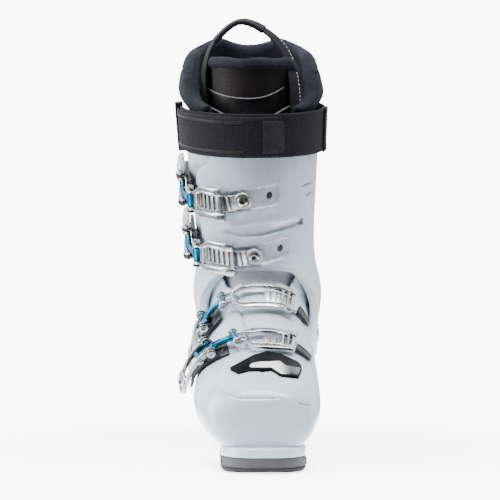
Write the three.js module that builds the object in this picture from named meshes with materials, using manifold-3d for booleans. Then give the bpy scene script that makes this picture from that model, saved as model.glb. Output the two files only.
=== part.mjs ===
// An alpine ski boot for the right foot, in millimetres.
// Toe towards -Y, lateral (outer) side towards -X, +Z up, origin at the centre of the heel's ground face.
import * as THREE from "three";
import { mergeVertices } from "three/addons/utils/BufferGeometryUtils.js";
import Module from "manifold-3d";

const wasm = await Module();
wasm.setup();

// ------------------------------------------------------------------ driving dimensions
const SOLE_LENGTH = 285; // boot sole length of a size 24.5
const TOE_Y = -SOLE_LENGTH / 2;
const HEEL_Y = SOLE_LENGTH / 2;
const TOE_WIDTH = 69;
const HEEL_WIDTH = 67;
const PAD_TOP = 12.4; // joint between the rubber pads and the shell
const TOE_LEDGE = 20.6; // where the binding's toe piece grips
const OUTLINE_STEP = 0.4;
const HEEL_LEDGE = 30;
const HEEL_CENTRE = 105; // from mid-sole to the origin
const SHELL_WALL = 4.5;
const CUFF_WALL = 4;
const LINER_WALL = 7;
const GAP = 0.4; // between pieces that touch
const PIVOT = { y: 62, z: 105, radius: 4.2 }; // ankle rivets
const CUFF_FLEX = 6; // degrees of forward flex
const LEVER_OPEN = 120; // degrees
const BAIL_LIFT = 35; // degrees
const STRAP_PEEL = 45; // degrees

// ------------------------------------------------------------------ materials
const paint = (color, roughness, metalness = 0) =>
  new THREE.MeshStandardMaterial({ color, roughness, metalness });
const MATERIALS = {
  shell: paint(0xd3dadd, 0.38),
  gaiter: paint(0x55575f, 0.25),
  rubber: paint(0x6f6f74, 0.75),
  black: paint(0x232227, 0.45),
  alloy: paint(0xc9ccce, 0.28, 1),
  blue: paint(0x1486b4, 0.3, 0.8),
  steel: paint(0xb9bcbe, 0.25, 1),
  webbing: paint(0x26262b, 0.85),
  fleece: paint(0x2b3244, 0.95),
  vinyl: paint(0x1b1a1f, 0.5),
  board: paint(0x3a3a3c, 0.8),
};

// ------------------------------------------------------------------ solids
function solid(geometry, matrix) {
  const bare = new THREE.BufferGeometry();
  bare.setAttribute("position", geometry.getAttribute("position").clone());
  bare.setIndex(geometry.index);
  if (matrix) bare.applyMatrix4(matrix);
  const merged = mergeVertices(bare, 1e-3);
  const make = (order) => {
    const triVerts = new Uint32Array(merged.index.array);
    if (order < 0) triVerts.reverse();
    return new wasm.Manifold(
      new wasm.Mesh({ numProp: 3, vertProperties: merged.attributes.position.array, triVerts }),
    );
  };
  const made = make(1);
  return made.volume() > 0 ? made : make(-1);
}

function geometryOf(made) {
  const { vertProperties, triVerts } = made.getMesh();
  const geometry = new THREE.BufferGeometry();
  geometry.setAttribute("position", new THREE.BufferAttribute(new Float32Array(vertProperties), 3));
  geometry.setIndex(new THREE.BufferAttribute(new Uint32Array(triVerts), 1));
  geometry.computeVertexNormals();
  return geometry;
}

// The body between two grids of points: outer[i][j] and inner[i][j].
function thickSheet(outer, inner, closedAround = false) {
  const rows = outer.length;
  const columns = outer[0].length;
  const positions = [...outer, ...inner].flat().flatMap((p) => [p.x, p.y, p.z]);
  const at = (side, i, j) => (side * rows + i) * columns + (j % columns);
  const index = [];
  const quad = (a, b, c, d) => index.push(a, b, c, a, c, d);
  const steps = closedAround ? columns : columns - 1;
  for (let i = 0; i < rows - 1; i += 1)
    for (let j = 0; j < steps; j += 1) {
      quad(at(0, i, j), at(0, i, j + 1), at(0, i + 1, j + 1), at(0, i + 1, j));
      quad(at(1, i, j), at(1, i + 1, j), at(1, i + 1, j + 1), at(1, i, j + 1));
    }
  for (let j = 0; j < steps; j += 1) {
    quad(at(0, 0, j), at(1, 0, j), at(1, 0, j + 1), at(0, 0, j + 1));
    quad(at(0, rows - 1, j), at(0, rows - 1, j + 1), at(1, rows - 1, j + 1), at(1, rows - 1, j));
  }
  if (!closedAround)
    for (let i = 0; i < rows - 1; i += 1) {
      quad(at(0, i, 0), at(0, i + 1, 0), at(1, i + 1, 0), at(1, i, 0));
      const k = columns - 1;
      quad(at(0, i, k), at(1, i, k), at(1, i + 1, k), at(0, i + 1, k));
    }
  const geometry = new THREE.BufferGeometry();
  geometry.setAttribute("position", new THREE.Float32BufferAttribute(positions, 3));
  geometry.setIndex(index);
  return solid(geometry);
}

// The body through closed loops of points, capped at both ends.
function closedLoft(loops) {
  const count = loops[0].length;
  const centre = (loop) =>
    loop.reduce((sum, p) => sum.add(p), new THREE.Vector3()).divideScalar(loop.length);
  const ends = [centre(loops[0]), centre(loops.at(-1))];
  const positions = [...loops.flat(), ...ends].flatMap((p) => [p.x, p.y, p.z]);
  const index = [];
  const first = loops.length * count;
  for (let j = 0; j < count; j += 1) {
    const k = (j + 1) % count;
    for (let i = 0; i < loops.length - 1; i += 1) {
      const [a, b] = [i * count + j, i * count + k];
      index.push(a, b, b + count, a, b + count, a + count);
    }
    const last = (loops.length - 1) * count;
    index.push(first, k, j, first + 1, last + j, last + k);
  }
  const geometry = new THREE.BufferGeometry();
  geometry.setAttribute("position", new THREE.Float32BufferAttribute(positions, 3));
  geometry.setIndex(index);
  return solid(geometry);
}

function rod(centre, axis, radius, length, sides = 10) {
  const turn = new THREE.Quaternion().setFromUnitVectors(
    new THREE.Vector3(0, 1, 0),
    axis.clone().normalize(),
  );
  const matrix = new THREE.Matrix4().compose(centre, turn, new THREE.Vector3(1, 1, 1));
  return solid(new THREE.CylinderGeometry(radius, radius, length, sides), matrix);
}

// A profile given as [y, z] points, extruded along X from `from` to `to`.
function sideProfile(points, from = -120, to = 120) {
  const shape = new THREE.Shape(points.map(([y, z]) => new THREE.Vector2(y, z)));
  const geometry = new THREE.ExtrudeGeometry(shape, { depth: to - from, bevelEnabled: false });
  const basis = new THREE.Matrix4().makeBasis(
    new THREE.Vector3(0, 1, 0),
    new THREE.Vector3(0, 0, 1),
    new THREE.Vector3(1, 0, 0),
  );
  return solid(geometry, basis.setPosition(from, 0, 0));
}

// A flat outline given as [x, y] points, extruded from height `low` to `high`.
function slab(points, low, high) {
  const shape = new THREE.Shape(points.map(([x, y]) => new THREE.Vector2(x, y)));
  const geometry = new THREE.ExtrudeGeometry(shape, { depth: high - low, bevelEnabled: false });
  return solid(geometry, new THREE.Matrix4().makeTranslation(0, 0, low));
}

// ------------------------------------------------------------------ lofted skins
const catmull = (a, b, c, d, t) =>
  0.5 *
  (2 * b + (c - a) * t + (2 * a - 5 * b + 4 * c - d) * t * t + (3 * b - a - 3 * c + d) * t ** 3);

// A skin through ribs. Each rib is a plane across the boot, from a base point to a top point of the
// side profile, with its own half-widths; angle 0 is lateral, 90 the top or front, 180 medial.
class Skin {
  constructor(ribs, crown, belly) {
    this.ribs = ribs;
    this.crown = crown;
    this.belly = belly;
  }

  rib(index) {
    const last = this.ribs.length - 1;
    const at = (k) => this.ribs[THREE.MathUtils.clamp(k, 0, last)];
    const k = THREE.MathUtils.clamp(Math.floor(index), 0, last - 1);
    const t = index - k;
    const row = at(k).map((_, c) =>
      t > 1 || t < 0
        ? THREE.MathUtils.lerp(at(k)[c], at(k + 1)[c], t)
        : catmull(at(k - 1)[c], at(k)[c], at(k + 1)[c], at(k + 2)[c], t),
    );
    const [topY, topZ, baseY, baseZ, lateral, medial, shift, waist] = row;
    const length = Math.hypot(topY - baseY, topZ - baseZ);
    const up = new THREE.Vector3(0, (topY - baseY) / length, (topZ - baseZ) / length);
    const centre = new THREE.Vector3(shift, baseY, baseZ).addScaledVector(up, waist * length);
    return { centre, up, lateral, medial, above: (1 - waist) * length, below: waist * length };
  }

  point(index, angle, inset = 0) {
    const { centre, up, lateral, medial, above, below } = this.rib(index);
    const a = THREE.MathUtils.degToRad(angle);
    const [c, s] = [Math.cos(a), Math.sin(a)];
    const power = 2 / (s > 0 ? this.crown : this.belly);
    const half = (c > 0 ? lateral : medial) - inset;
    const reach = (s > 0 ? above : below) - inset;
    return centre
      .clone()
      .add(new THREE.Vector3(-Math.sign(c) * half * Math.abs(c) ** power, 0, 0))
      .addScaledVector(up, Math.sign(s) * reach * Math.abs(s) ** power);
  }

  normal(index, angle) {
    const along = this.point(index + 0.05, angle).sub(this.point(index - 0.05, angle));
    const around = this.point(index, angle + 1).sub(this.point(index, angle - 1));
    const normal = along.cross(around).normalize();
    const outward = this.point(index, angle).sub(this.rib(index).centre);
    return normal.dot(outward) < 0 ? normal.negate() : normal;
  }

  // The angle of the point at a given x on a rib's upper half.
  angleAt(index, x) {
    const { centre, lateral, medial } = this.rib(index);
    const dx = x - centre.x;
    const share = Math.min(1, Math.abs(dx) / (dx < 0 ? lateral : medial));
    const cosine = -Math.sign(dx) * share ** (this.crown / 2);
    return THREE.MathUtils.radToDeg(Math.acos(cosine));
  }

  // The point that shows at (x, z) from the front, `proud` millimetres off the skin.
  facing(x, z, proud = 0) {
    let [low, high] = [0.5, this.ribs.length - 1];
    for (let i = 0; i < 24; i += 1) {
      const index = (low + high) / 2;
      if (this.point(index, this.angleAt(index, x)).z < z) low = index;
      else high = index;
    }
    return this.off(low, this.angleAt(low, x), proud);
  }

  // A point `proud` millimetres off the skin.
  off(index, angle, proud) {
    return this.point(index, angle).addScaledVector(this.normal(index, angle), proud);
  }

  // The closed body inside the skin, from one rib index to another.
  body(from, to, rows, sides, inset = 0) {
    const loops = [];
    for (let i = 0; i <= rows; i += 1) {
      const index = from + ((to - from) * i) / rows;
      loops.push(
        Array.from({ length: sides }, (_, j) => this.point(index, (360 * j) / sides, inset)),
      );
    }
    return closedLoft(loops);
  }
}

// A smooth value through [at, value] marks, in rising order of `at`.
function through(marks, at) {
  const last = marks.length - 1;
  const next = marks.findIndex(([a]) => a > at);
  const k = next < 0 ? last - 1 : Math.max(0, next - 1);
  const mark = (i) => marks[THREE.MathUtils.clamp(i, 0, last)];
  const slope = (i) => {
    const [a, b] = [mark(i - 1), mark(i + 1)];
    return (b[1] - a[1]) / (b[0] - a[0]);
  };
  const [a, b] = [mark(k), mark(k + 1)];
  const span = b[0] - a[0];
  const t = (at - a[0]) / span;
  if (t < 0) return a[1] + slope(k) * (at - a[0]);
  if (t > 1) return b[1] + slope(k + 1) * (at - b[0]);
  const [h, g] = [t * t * (3 - 2 * t), t * (1 - t)];
  return a[1] * (1 - h) + b[1] * h + span * g * (slope(k) * (1 - t) - slope(k + 1) * t);
}

const evenly = (from, to, steps) =>
  Array.from({ length: steps + 1 }, (_, i) => from + ((to - from) * i) / steps);

// A line drawn round a skin through [angle, rib index] marks, walked by its length in millimetres:
// 0 is the top or front, negative is lateral, positive medial.
class Belt {
  constructor(skin, line, lift = 0) {
    this.skin = skin;
    this.line = line;
    this.lift = lift;
    this.marks = [];
    let length = 0;
    let previous = null;
    for (let angle = -110; angle <= 360; angle += 2) {
      const p = this.at(angle);
      if (previous) length += p.distanceTo(previous);
      this.marks.push({ angle, length });
      previous = p;
    }
    const zero = this.marks.find((m) => m.angle === 90).length;
    this.marks.forEach((m) => {
      m.length -= zero;
    });
  }

  at(angle) {
    return this.skin.point(through(this.line, angle), angle);
  }

  angle(arc) {
    const k = Math.max(
      1,
      this.marks.findIndex((m) => m.length >= arc),
    );
    const [a, b] = [this.marks[k - 1], this.marks[k]];
    return a.angle + ((arc - a.length) / (b.length - a.length)) * (b.angle - a.angle);
  }

  frame(arc) {
    const angle = this.angle(arc);
    const origin = this.at(angle);
    const normal = this.skin.normal(through(this.line, angle), angle);
    const tangent = this.at(angle + 1).sub(this.at(angle - 1)).normalize();
    const across = tangent.clone().cross(normal).normalize();
    return { origin, normal, tangent, across };
  }

  place(arc, width, proud) {
    const { origin, normal, across } = this.frame(arc);
    return origin.addScaledVector(normal, proud + this.lift).addScaledVector(across, width);
  }

  // A strip along the belt; each edge and height may be a number or a function of the arc.
  strip({ from, to, left, right, low, high, steps = 8, arcs = evenly(from, to, steps) }) {
    const value = (v, arc) => (typeof v === "function" ? v(arc) : v);
    const grid = (proud) =>
      arcs.map((arc) =>
        [left, right].map((w) => this.place(arc, value(w, arc), value(proud, arc))),
      );
    return thickSheet(grid(high), grid(low));
  }
}

// A belt pressed flat into the plane square to one pin, so that what turns on the pin is square to
// it; from `release` on it eases back onto the skin over `ease` millimetres.
class PinPlane extends Belt {
  constructor(belt, pinArc, release = Infinity, ease = 16) {
    super(belt.skin, belt.line, belt.lift);
    this.pin = belt.frame(pinArc);
    this.release = release;
    this.ease = ease;
  }

  frame(arc) {
    const { origin, tangent, normal, across } = this.pin;
    const skin = super.frame(arc);
    const offset = skin.origin.clone().sub(origin);
    const flat = (v) =>
      tangent
        .clone()
        .multiplyScalar(v.dot(tangent))
        .addScaledVector(normal, v.dot(normal));
    const direction = flat(skin.tangent).normalize();
    const pressed = {
      origin: origin.clone().add(flat(offset)),
      tangent: direction,
      normal: across.clone().cross(direction).normalize(),
      across: across.clone(),
    };
    const t = THREE.MathUtils.smoothstep(arc, this.release, this.release + this.ease);
    if (t === 0) return pressed;
    const mixed = {};
    for (const key of Object.keys(pressed)) mixed[key] = pressed[key].lerp(skin[key], t);
    for (const key of ["tangent", "normal", "across"]) mixed[key].normalize();
    return mixed;
  }
}

// ------------------------------------------------------------------ the boot's skins
// top y, top z, base y, base z, lateral, medial, shift x, waist
const SHELL_RIBS = [
  [-135, 49, -135, 37, 8, 8, 1, 0.5],
  [-133.5, 60, -134, 25, 29, 29, 1, 0.52],
  [-127, 68, -131, 16, 41, 38.5, 1, 0.54],
  [-116, 75, -120, 14, 48.5, 44, 0, 0.56],
  [-99, 82.5, -102, 14, 54, 47, 0, 0.57],
  [-78, 90.5, -78, 14, 56.5, 48, 0, 0.57],
  [-56, 101, -48, 14, 56, 48.5, 0, 0.54],
  [-34, 119, -12, 16, 52, 48.5, 0, 0.5],
  [-14, 140, 28, 19, 49, 47.5, 0, 0.5],
  [1, 153, 72, 20, 47.5, 46.5, 0, 0.54],
  [7, 161, 117, 17, 46.5, 46, 0, 0.57],
  [8, 167, 137, 44, 46.5, 46, 0, 0.57],
  [6, 172, 136, 84, 46.5, 46.5, 0, 0.55],
  [3, 178, 130, 122, 47.5, 47.5, 0, 0.52],
  [-1, 184, 124, 152, 47, 47, 0, 0.5],
  [-6, 192, 117, 182, 46, 46, -1, 0.5],
];
const CUFF_RIBS = [
  [-45, 51, 147, 98, 53.2, 53.2, 0, 0.36],
  [-45, 85, 145, 132, 53.6, 53.6, 0, 0.36],
  [-16, 124, 138, 162, 57.3, 57.3, 0, 0.45],
  [0, 160, 130, 192, 52.5, 52.5, -1, 0.5],
  [-9, 190, 122, 222, 53, 53, -2.5, 0.5],
  [-18, 220, 114, 253, 55.5, 55.5, -4, 0.5],
  [-28, 250, 106, 283, 57.5, 57.5, -5, 0.5],
  [-38, 280, 98, 314, 59, 59, -6, 0.5],
  [-48, 310, 90, 345, 60, 60, -7, 0.5],
  [-58, 340, 82, 376, 61, 61, -8, 0.5],
];
const shellSkin = new Skin(SHELL_RIBS, 2.3, 2.25);
const cuffSkin = new Skin(CUFF_RIBS, 2.15, 2.15);
const CUFF_TOP = 7;

const root = new THREE.Group();
const boot = new THREE.Group();
boot.position.y = -HEEL_CENTRE;
root.add(boot);

function add(name, made, material) {
  const mesh = new THREE.Mesh(geometryOf(made), MATERIALS[material]);
  mesh.name = name;
  boot.add(mesh);
}

// ------------------------------------------------------------------ soles
// A sole block's outline: straight sides with one rounded end, from the round end at `tip` to `back`.
function soleOutline(width, tip, back, radius) {
  const side = width / 2;
  const towards = Math.sign(back - tip);
  const outline = [];
  const steps = 8;
  for (let i = 0; i <= steps; i += 1) {
    const a = (Math.PI * i) / steps;
    const across = Math.sign(Math.cos(a)) * Math.abs(Math.cos(a)) ** 0.65;
    outline.push([-side * across, tip + towards * radius * (1 - Math.sin(a))]);
  }
  return [...outline, [side, back], [-side, back]];
}

const TOE_BACK = -30;
const HEEL_FRONT = 68;

function toeSole() {
  const whole = slab(soleOutline(TOE_WIDTH, TOE_Y, TOE_BACK, 34), 0, PAD_TOP);
  const rocker = sideProfile([
    [TOE_Y - 5, -1],
    [TOE_Y - 5, 6.5],
    [TOE_Y, 6],
    [TOE_Y + 8, 2.6],
    [TOE_Y + 26, 0],
    [TOE_Y + 26, -1],
  ]);
  const grooves = [-60, -80, -100].map((y) =>
    sideProfile([[y, -1], [y, 2.2], [y + 4, 2.2], [y + 4, -1]], -25, 25),
  );
  return [rocker, ...grooves].reduce((pad, cut) => pad.subtract(cut), whole);
}

function heelSole() {
  const whole = slab(soleOutline(HEEL_WIDTH, HEEL_Y, HEEL_FRONT, 20), 0, PAD_TOP);
  const grooves = [78, 126].map((y) =>
    sideProfile([[y, -1], [y, 2.2], [y + 4, 2.2], [y + 4, -1]], -25, 25),
  );
  return grooves.reduce((pad, cut) => pad.subtract(cut), whole);
}

// ------------------------------------------------------------------ lower shell
const CAVITY_FLOOR = 19;
const THROAT = [
  [-60, 142],
  [-8, 144.5],
  [5, 147],
  [14, 151.5],
  [25, 161.5],
  [48, 154],
  [75, 138],
  [160, 138],
  [160, 260],
  [-60, 260],
];

const above = (z) => sideProfile([[-220, z], [220, z], [220, 420], [-220, 420]]);

function shellInside(inset, first = 1.75) {
  return shellSkin.body(first, 15, 13, 20, inset);
}

// The foremost outline of a solid where it is cut at a height, as [x, y] points.
function outlineAt(made, level) {
  const { vertProperties, triVerts } = made.getMesh();
  const corner = (k) => Array.from(vertProperties.slice(k * 3, k * 3 + 3));
  const isAbove = (k) => vertProperties[k * 3 + 2] >= level;
  const crossings = new Map();
  const crossing = (a, b) => {
    const [first, last] = [Math.min(a, b), Math.max(a, b)];
    const [p, q] = [corner(first), corner(last)];
    const share = (level - p[2]) / (q[2] - p[2]);
    const key = `${first}_${last}`;
    crossings.set(key, [p[0] + share * (q[0] - p[0]), p[1] + share * (q[1] - p[1])]);
    return key;
  };
  const next = new Map();
  for (let t = 0; t < triVerts.length; t += 3) {
    const edges = [0, 1, 2].map((k) => [triVerts[t + k], triVerts[t + ((k + 1) % 3)]]);
    const rising = edges.find(([a, b]) => !isAbove(a) && isAbove(b));
    const falling = edges.find(([a, b]) => isAbove(a) && !isAbove(b));
    if (rising) next.set(crossing(...rising), crossing(...falling));
  }
  const start = [...crossings].reduce((best, item) => (item[1][1] < best[1][1] ? item : best))[0];
  const points = [crossings.get(start)];
  for (let key = next.get(start); key !== start; key = next.get(key)) {
    const point = crossings.get(key);
    const [x, y] = points.at(-1);
    if (Math.hypot(point[0] - x, point[1] - y) > OUTLINE_STEP) points.push(point);
  }
  return points;
}

// The wall stands straight for a little above the toe ledge, so a toe piece can lie flat on it.
function clearOfLedge(body) {
  const low = TOE_LEDGE - 0.4;
  const height = 3;
  const ledge = slab(soleOutline(TOE_WIDTH + 2, TOE_Y - 1, TOE_BACK, 34), low, low + height);
  const straight = slab(outlineAt(body, low), low - 1, low + height + 1);
  return body.subtract(ledge.subtract(straight));
}

function lowerShell() {
  const base = PAD_TOP + GAP;
  const blocks = [
    slab(soleOutline(TOE_WIDTH, TOE_Y, TOE_BACK, 34), base, TOE_LEDGE),
    slab(soleOutline(HEEL_WIDTH, HEEL_Y, HEEL_FRONT, 20), base, HEEL_LEDGE),
  ];
  const outside = clearOfLedge(shellSkin.body(0, 15, 20, 26).intersect(above(base)));
  const cavity = shellInside(SHELL_WALL).intersect(above(CAVITY_FLOOR));
  const rivetHoles = rod(
    new THREE.Vector3(0, PIVOT.y, PIVOT.z),
    new THREE.Vector3(1, 0, 0),
    PIVOT.radius - 0.3,
    140,
  );
  return blocks
    .reduce((whole, block) => whole.add(block), outside)
    .subtract(cavity)
    .subtract(sideProfile(THROAT))
    .subtract(overlapSlit())
    .subtract(rivetHoles);
}

// The slanting cut that parts the instep into two overlapping flaps, from the badge up to the
// throat, seen from the front as [z, x].
const OVERLAP = [
  [97, -8],
  [108, -11],
  [126, -17],
  [144, -21],
  [153, -26],
];

function overlapSlit() {
  const rows = 7;
  const face = (shift) =>
    Array.from({ length: rows + 1 }, (_, i) => {
      const z = THREE.MathUtils.lerp(OVERLAP[0][0], OVERLAP.at(-1)[0], i / rows);
      const x = through(OVERLAP, z) + shift;
      return [shellSkin.facing(x, z, 4), shellSkin.facing(x + 9, z, -12)];
    });
  return thickSheet(face(0), face(1.2));
}

function flexGaiter() {
  const [first, last, rows, columns] = [8.55, 12.4, 6, 10];
  const grid = (inset) =>
    Array.from({ length: rows + 1 }, (_, i) => {
      const index = first + ((last - first) * i) / rows;
      return Array.from({ length: columns + 1 }, (_, j) =>
        shellSkin.point(index, 38 + (104 * j) / columns, inset),
      );
    });
  return thickSheet(grid(SHELL_WALL + 1.2), grid(SHELL_WALL + 3.4));
}

function bootBoard() {
  const slabOnly = above(CAVITY_FLOOR + GAP).subtract(above(CAVITY_FLOOR + 9));
  return shellInside(SHELL_WALL + 1, 1.85).intersect(slabOnly);
}

// ------------------------------------------------------------------ badge on the toe box
// The badge's edges as seen from the front, [x, z].
const BADGE_TOP = [
  [-26.5, 81.5],
  [-17.5, 85.8],
  [-7, 91],
  [4.5, 93.7],
  [15.5, 91.8],
  [29, 85.4],
  [31.5, 82],
];
const BADGE_BOTTOM = [
  [-26.5, 80],
  [-20.5, 77.8],
  [-11.5, 79.8],
  [6.5, 80.3],
  [13.5, 76],
  [28.5, 74.2],
  [31.5, 78],
];
const BADGE_INSERT = { left: -9, right: 28.5, top: 4.5, bottom: 1.2 };

function badgePatch({ left, right, top, bottom }, low, high) {
  const [columns, rows] = [9, 2];
  const grid = (proud) =>
    Array.from({ length: columns + 1 }, (_, j) => {
      const x = THREE.MathUtils.lerp(left, right, j / columns);
      const [from, to] = [through(BADGE_BOTTOM, x) + bottom, through(BADGE_TOP, x) - top];
      return Array.from({ length: rows + 1 }, (_, i) =>
        shellSkin.facing(x, THREE.MathUtils.lerp(from, to, i / rows), proud),
      );
    });
  return thickSheet(grid(high), grid(low));
}

// ------------------------------------------------------------------ liner
// The liner parts along a slanting seam above the shell, so that its upper half can flex.
const FOOT_TOP = [
  [-160, 0],
  [160, 0],
  [160, 138],
  [80, 138],
  [50, 154],
  [6, 171],
  [-160, 171],
];
const LINER_BOTTOM = [
  [-160, 420],
  [-160, 300],
  [-30, 200],
  [2, 185],
  [30, 177],
  [52, 165],
  [82, 146],
  [160, 146],
  [160, 420],
];

function linerFoot() {
  const floor = CAVITY_FLOOR + 9 + GAP;
  const inset = SHELL_WALL + 4.8;
  const outside = shellSkin.body(1.85, 15, 12, 18, inset).intersect(above(floor));
  const inside = shellSkin.body(2.25, 15.2, 12, 16, inset + LINER_WALL).intersect(above(floor + 5));
  return outside.subtract(inside).intersect(sideProfile(FOOT_TOP));
}

// A sheet on the cuff's skin from one angle to another round the back, its outer and inner faces
// given as insets, which may depend on the rib index.
function collar({ outer, inner, first, last, rows, from, to, columns }) {
  const value = (v, index) => (typeof v === "function" ? v(index) : v);
  const grid = (inset) =>
    Array.from({ length: rows + 1 }, (_, i) => {
      const index = first + ((last - first) * i) / rows;
      return Array.from({ length: columns + 1 }, (_, j) =>
        cuffSkin.point(index, from + ((to - from) * j) / columns, value(inset, index)),
      );
    });
  return thickSheet(grid(outer), grid(inner));
}

const LINER_TOP = [
  [-200, 0],
  [-44, 296],
  [-26, 303],
  [-14, 314],
  [-6, 334],
  [4, 345],
  [25, 352],
  [60, 362],
  [90, 371],
  [200, 371],
  [200, 0],
];
// The padded collar swells over the cuff's top edge.
const LINER_OUTER = [
  [1, 10],
  [7, 10],
  [7.25, 4],
  [7.7, -4.5],
  [8.6, -3.5],
  [9.1, 0],
  [9.6, 6],
];
const LINER_INNER = [
  [1, 17.5],
  [6.2, 17.5],
  [7, 12],
  [7.8, 11],
  [9.6, 12],
];
const TONGUE_INSET = 19.7;
const TONGUE_TOP = 341;

function linerCuff() {
  return collar({
    outer: (index) => through(LINER_OUTER, index),
    inner: (index) => through(LINER_INNER, index),
    first: 2,
    last: 9.6,
    rows: 13,
    from: 130,
    to: 408,
    columns: 16,
  })
    .intersect(sideProfile(LINER_BOTTOM))
    .intersect(sideProfile(LINER_TOP));
}

function tongue() {
  return collar({
    outer: TONGUE_INSET,
    inner: TONGUE_INSET + 8,
    first: 3.7,
    last: 9,
    rows: 6,
    from: 22,
    to: 141,
    columns: 12,
  })
    .intersect(sideProfile(LINER_BOTTOM))
    .subtract(above(TONGUE_TOP));
}

// The webbing loop on the tongue, a ribbon swept along an arch.
function tongueLoop() {
  const path = new THREE.CatmullRomCurve3([
    new THREE.Vector3(-46.2, 1, 298),
    new THREE.Vector3(-47.9, -4, 318),
    new THREE.Vector3(-47.6, -9, 339),
    new THREE.Vector3(-39, -13, 361),
    new THREE.Vector3(-18, -16, 376.5),
    new THREE.Vector3(4, -16, 368),
    new THREE.Vector3(23.2, -11.5, 350),
    new THREE.Vector3(31, -6, 325),
    new THREE.Vector3(32.5, 0, 300),
  ]);
  const steps = 20;
  const grid = (thickness) =>
    Array.from({ length: steps + 1 }, (_, i) => {
      const t = i / steps;
      const p = path.getPoint(t);
      const tangent = path.getTangent(t);
      const wide = new THREE.Vector3(-0.45 * Math.cos(Math.PI * t), 1, 0.35);
      wide.addScaledVector(tangent, -wide.dot(tangent)).normalize();
      const thick = tangent.clone().cross(wide).multiplyScalar(thickness);
      return [-6.5, 6.5].map((w) => p.clone().addScaledVector(wide, w).add(thick));
    });
  return thickSheet(grid(1), grid(-1));
}

// ------------------------------------------------------------------ cuff
const CUFF_EDGE = [
  [-90, 161.5],
  [5, 161],
  [19, 151],
  [28, 132],
  [37, 110],
  [46, 93],
  [62, 84],
  [80, 87],
  [94, 96],
  [112, 99],
  [170, 104],
  [170, 420],
  [-90, 420],
];
// The medial flap is the outer one: it starts inside at the front's medial side, goes round the
// back and ends proud of the wall on the lateral front.
const FLAP = { start: 64, end: 468, overlapFrom: 400, lift: CUFF_WALL + 0.5 };

function cuffShell() {
  const columns = 34;
  const rows = 10;
  const rise = (angle) => {
    // The free lateral end tucks under; the medial end stays on the skin.
    const t = THREE.MathUtils.clamp((angle - FLAP.overlapFrom) / 22, 0, 1);
    return -FLAP.lift * t * t * (3 - 2 * t);
  };
  const grid = (inset) =>
    Array.from({ length: rows + 1 }, (_, i) => {
      const index = (CUFF_TOP * i) / rows;
      return Array.from({ length: columns + 1 }, (_, j) => {
        const angle = FLAP.start + ((FLAP.end - FLAP.start) * j) / columns;
        return cuffSkin.point(index, angle, inset - rise(angle));
      });
    });
  return thickSheet(grid(0), grid(CUFF_WALL)).intersect(sideProfile(CUFF_EDGE));
}

function rearSpoiler() {
  return collar({
    outer: CUFF_WALL + 0.7,
    inner: CUFF_WALL + 4.7,
    first: 5,
    last: 6.6,
    rows: 3,
    from: 235,
    to: 305,
    columns: 6,
  });
}

// ------------------------------------------------------------------ buckles
const BUCKLES = [
  {
    name: "collar",
    host: "cuff",
    line: [[-40, 5.6], [-10, 5.28], [20, 4.98], [60, 4.92], [83, 5.06], [103, 5.17]],
    pivot: -86,
    hook: -30,
    ladder: [-56, -3],
    screw: -10.5,
    spare: 13,
    lever: 46,
  },
  {
    name: "shin",
    host: "cuff",
    lift: 1,
    line: [[-40, 4.1], [-10, 3.74], [20, 3.44], [70, 3.38], [92, 3.5], [112, 3.62]],
    pivot: -80,
    hook: -22,
    ladder: [-48, 6],
    screw: -3,
    spare: 21.5,
    lever: 46,
  },
  {
    name: "instep",
    host: "shell",
    line: [[-30, 7.9], [30, 7.85], [90, 7.85], [150, 7.85]],
    pivot: -51,
    hook: 24,
    ladder: [3, 33],
    strap: [34, 50],
    lever: 42,
  },
  {
    name: "toe",
    host: "shell",
    line: [[-30, 6.1], [30, 5.95], [90, 5.97], [150, 5.97]],
    pivot: -42,
    hook: 23,
    ladder: [2, 28],
    strap: [29, 44],
    lever: 38,
  },
].map((buckle) => ({
  ...buckle,
  hinge: buckle.pivot + 21.5,
  belt: new Belt(buckle.host === "cuff" ? cuffSkin : shellSkin, buckle.line, buckle.lift),
}));
const PIN_HEIGHT = 8.8; // lever pivots above the wall
const LINK_HEIGHT = 7;
const HINGE_HEIGHT = 7.4;
const LINK_BACK = 9.6; // from the lever's pivot to the link's pin

// Where a buckle's three pins are, and their common direction.
function pins(buckle) {
  const plane = new PinPlane(buckle.belt, buckle.pivot);
  return {
    plane,
    axis: plane.pin.across,
    lever: plane.place(buckle.pivot, 0, PIN_HEIGHT),
    link: plane.place(buckle.pivot - LINK_BACK, 0, LINK_HEIGHT),
    bail: plane.place(buckle.hinge, 0, HINGE_HEIGHT),
  };
}

const along = (point, axis, distance) => point.clone().addScaledVector(axis, distance);

function buckleBase(buckle) {
  const { plane, axis, lever } = pins(buckle);
  const narrow = (arc) => 9 * Math.max(0, (buckle.pivot - 18 - arc) / 18) ** 2;
  const plate = buckle.belt.strip({
    from: buckle.pivot - 31,
    to: buckle.pivot + 14,
    left: (arc) => -14.8 + narrow(arc),
    right: (arc) => 14.8 - narrow(arc),
    low: 1.7,
    high: 3.2,
    steps: 4,
  });
  const ears = [-1, 1].map((side) => {
    const post = plane.strip({
      from: buckle.pivot - 4.2,
      to: buckle.pivot + 4.2,
      left: side * 12.3,
      right: side * 14.7,
      low: 2,
      high: PIN_HEIGHT,
      steps: 1,
    });
    return post.add(rod(along(lever, axis, side * 13.5), axis, 4.4, 2.4));
  });
  return [...ears]
    .reduce((whole, ear) => whole.add(ear), plate)
    .subtract(rod(lever, axis, 2.15, 34, 7));
}

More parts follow.
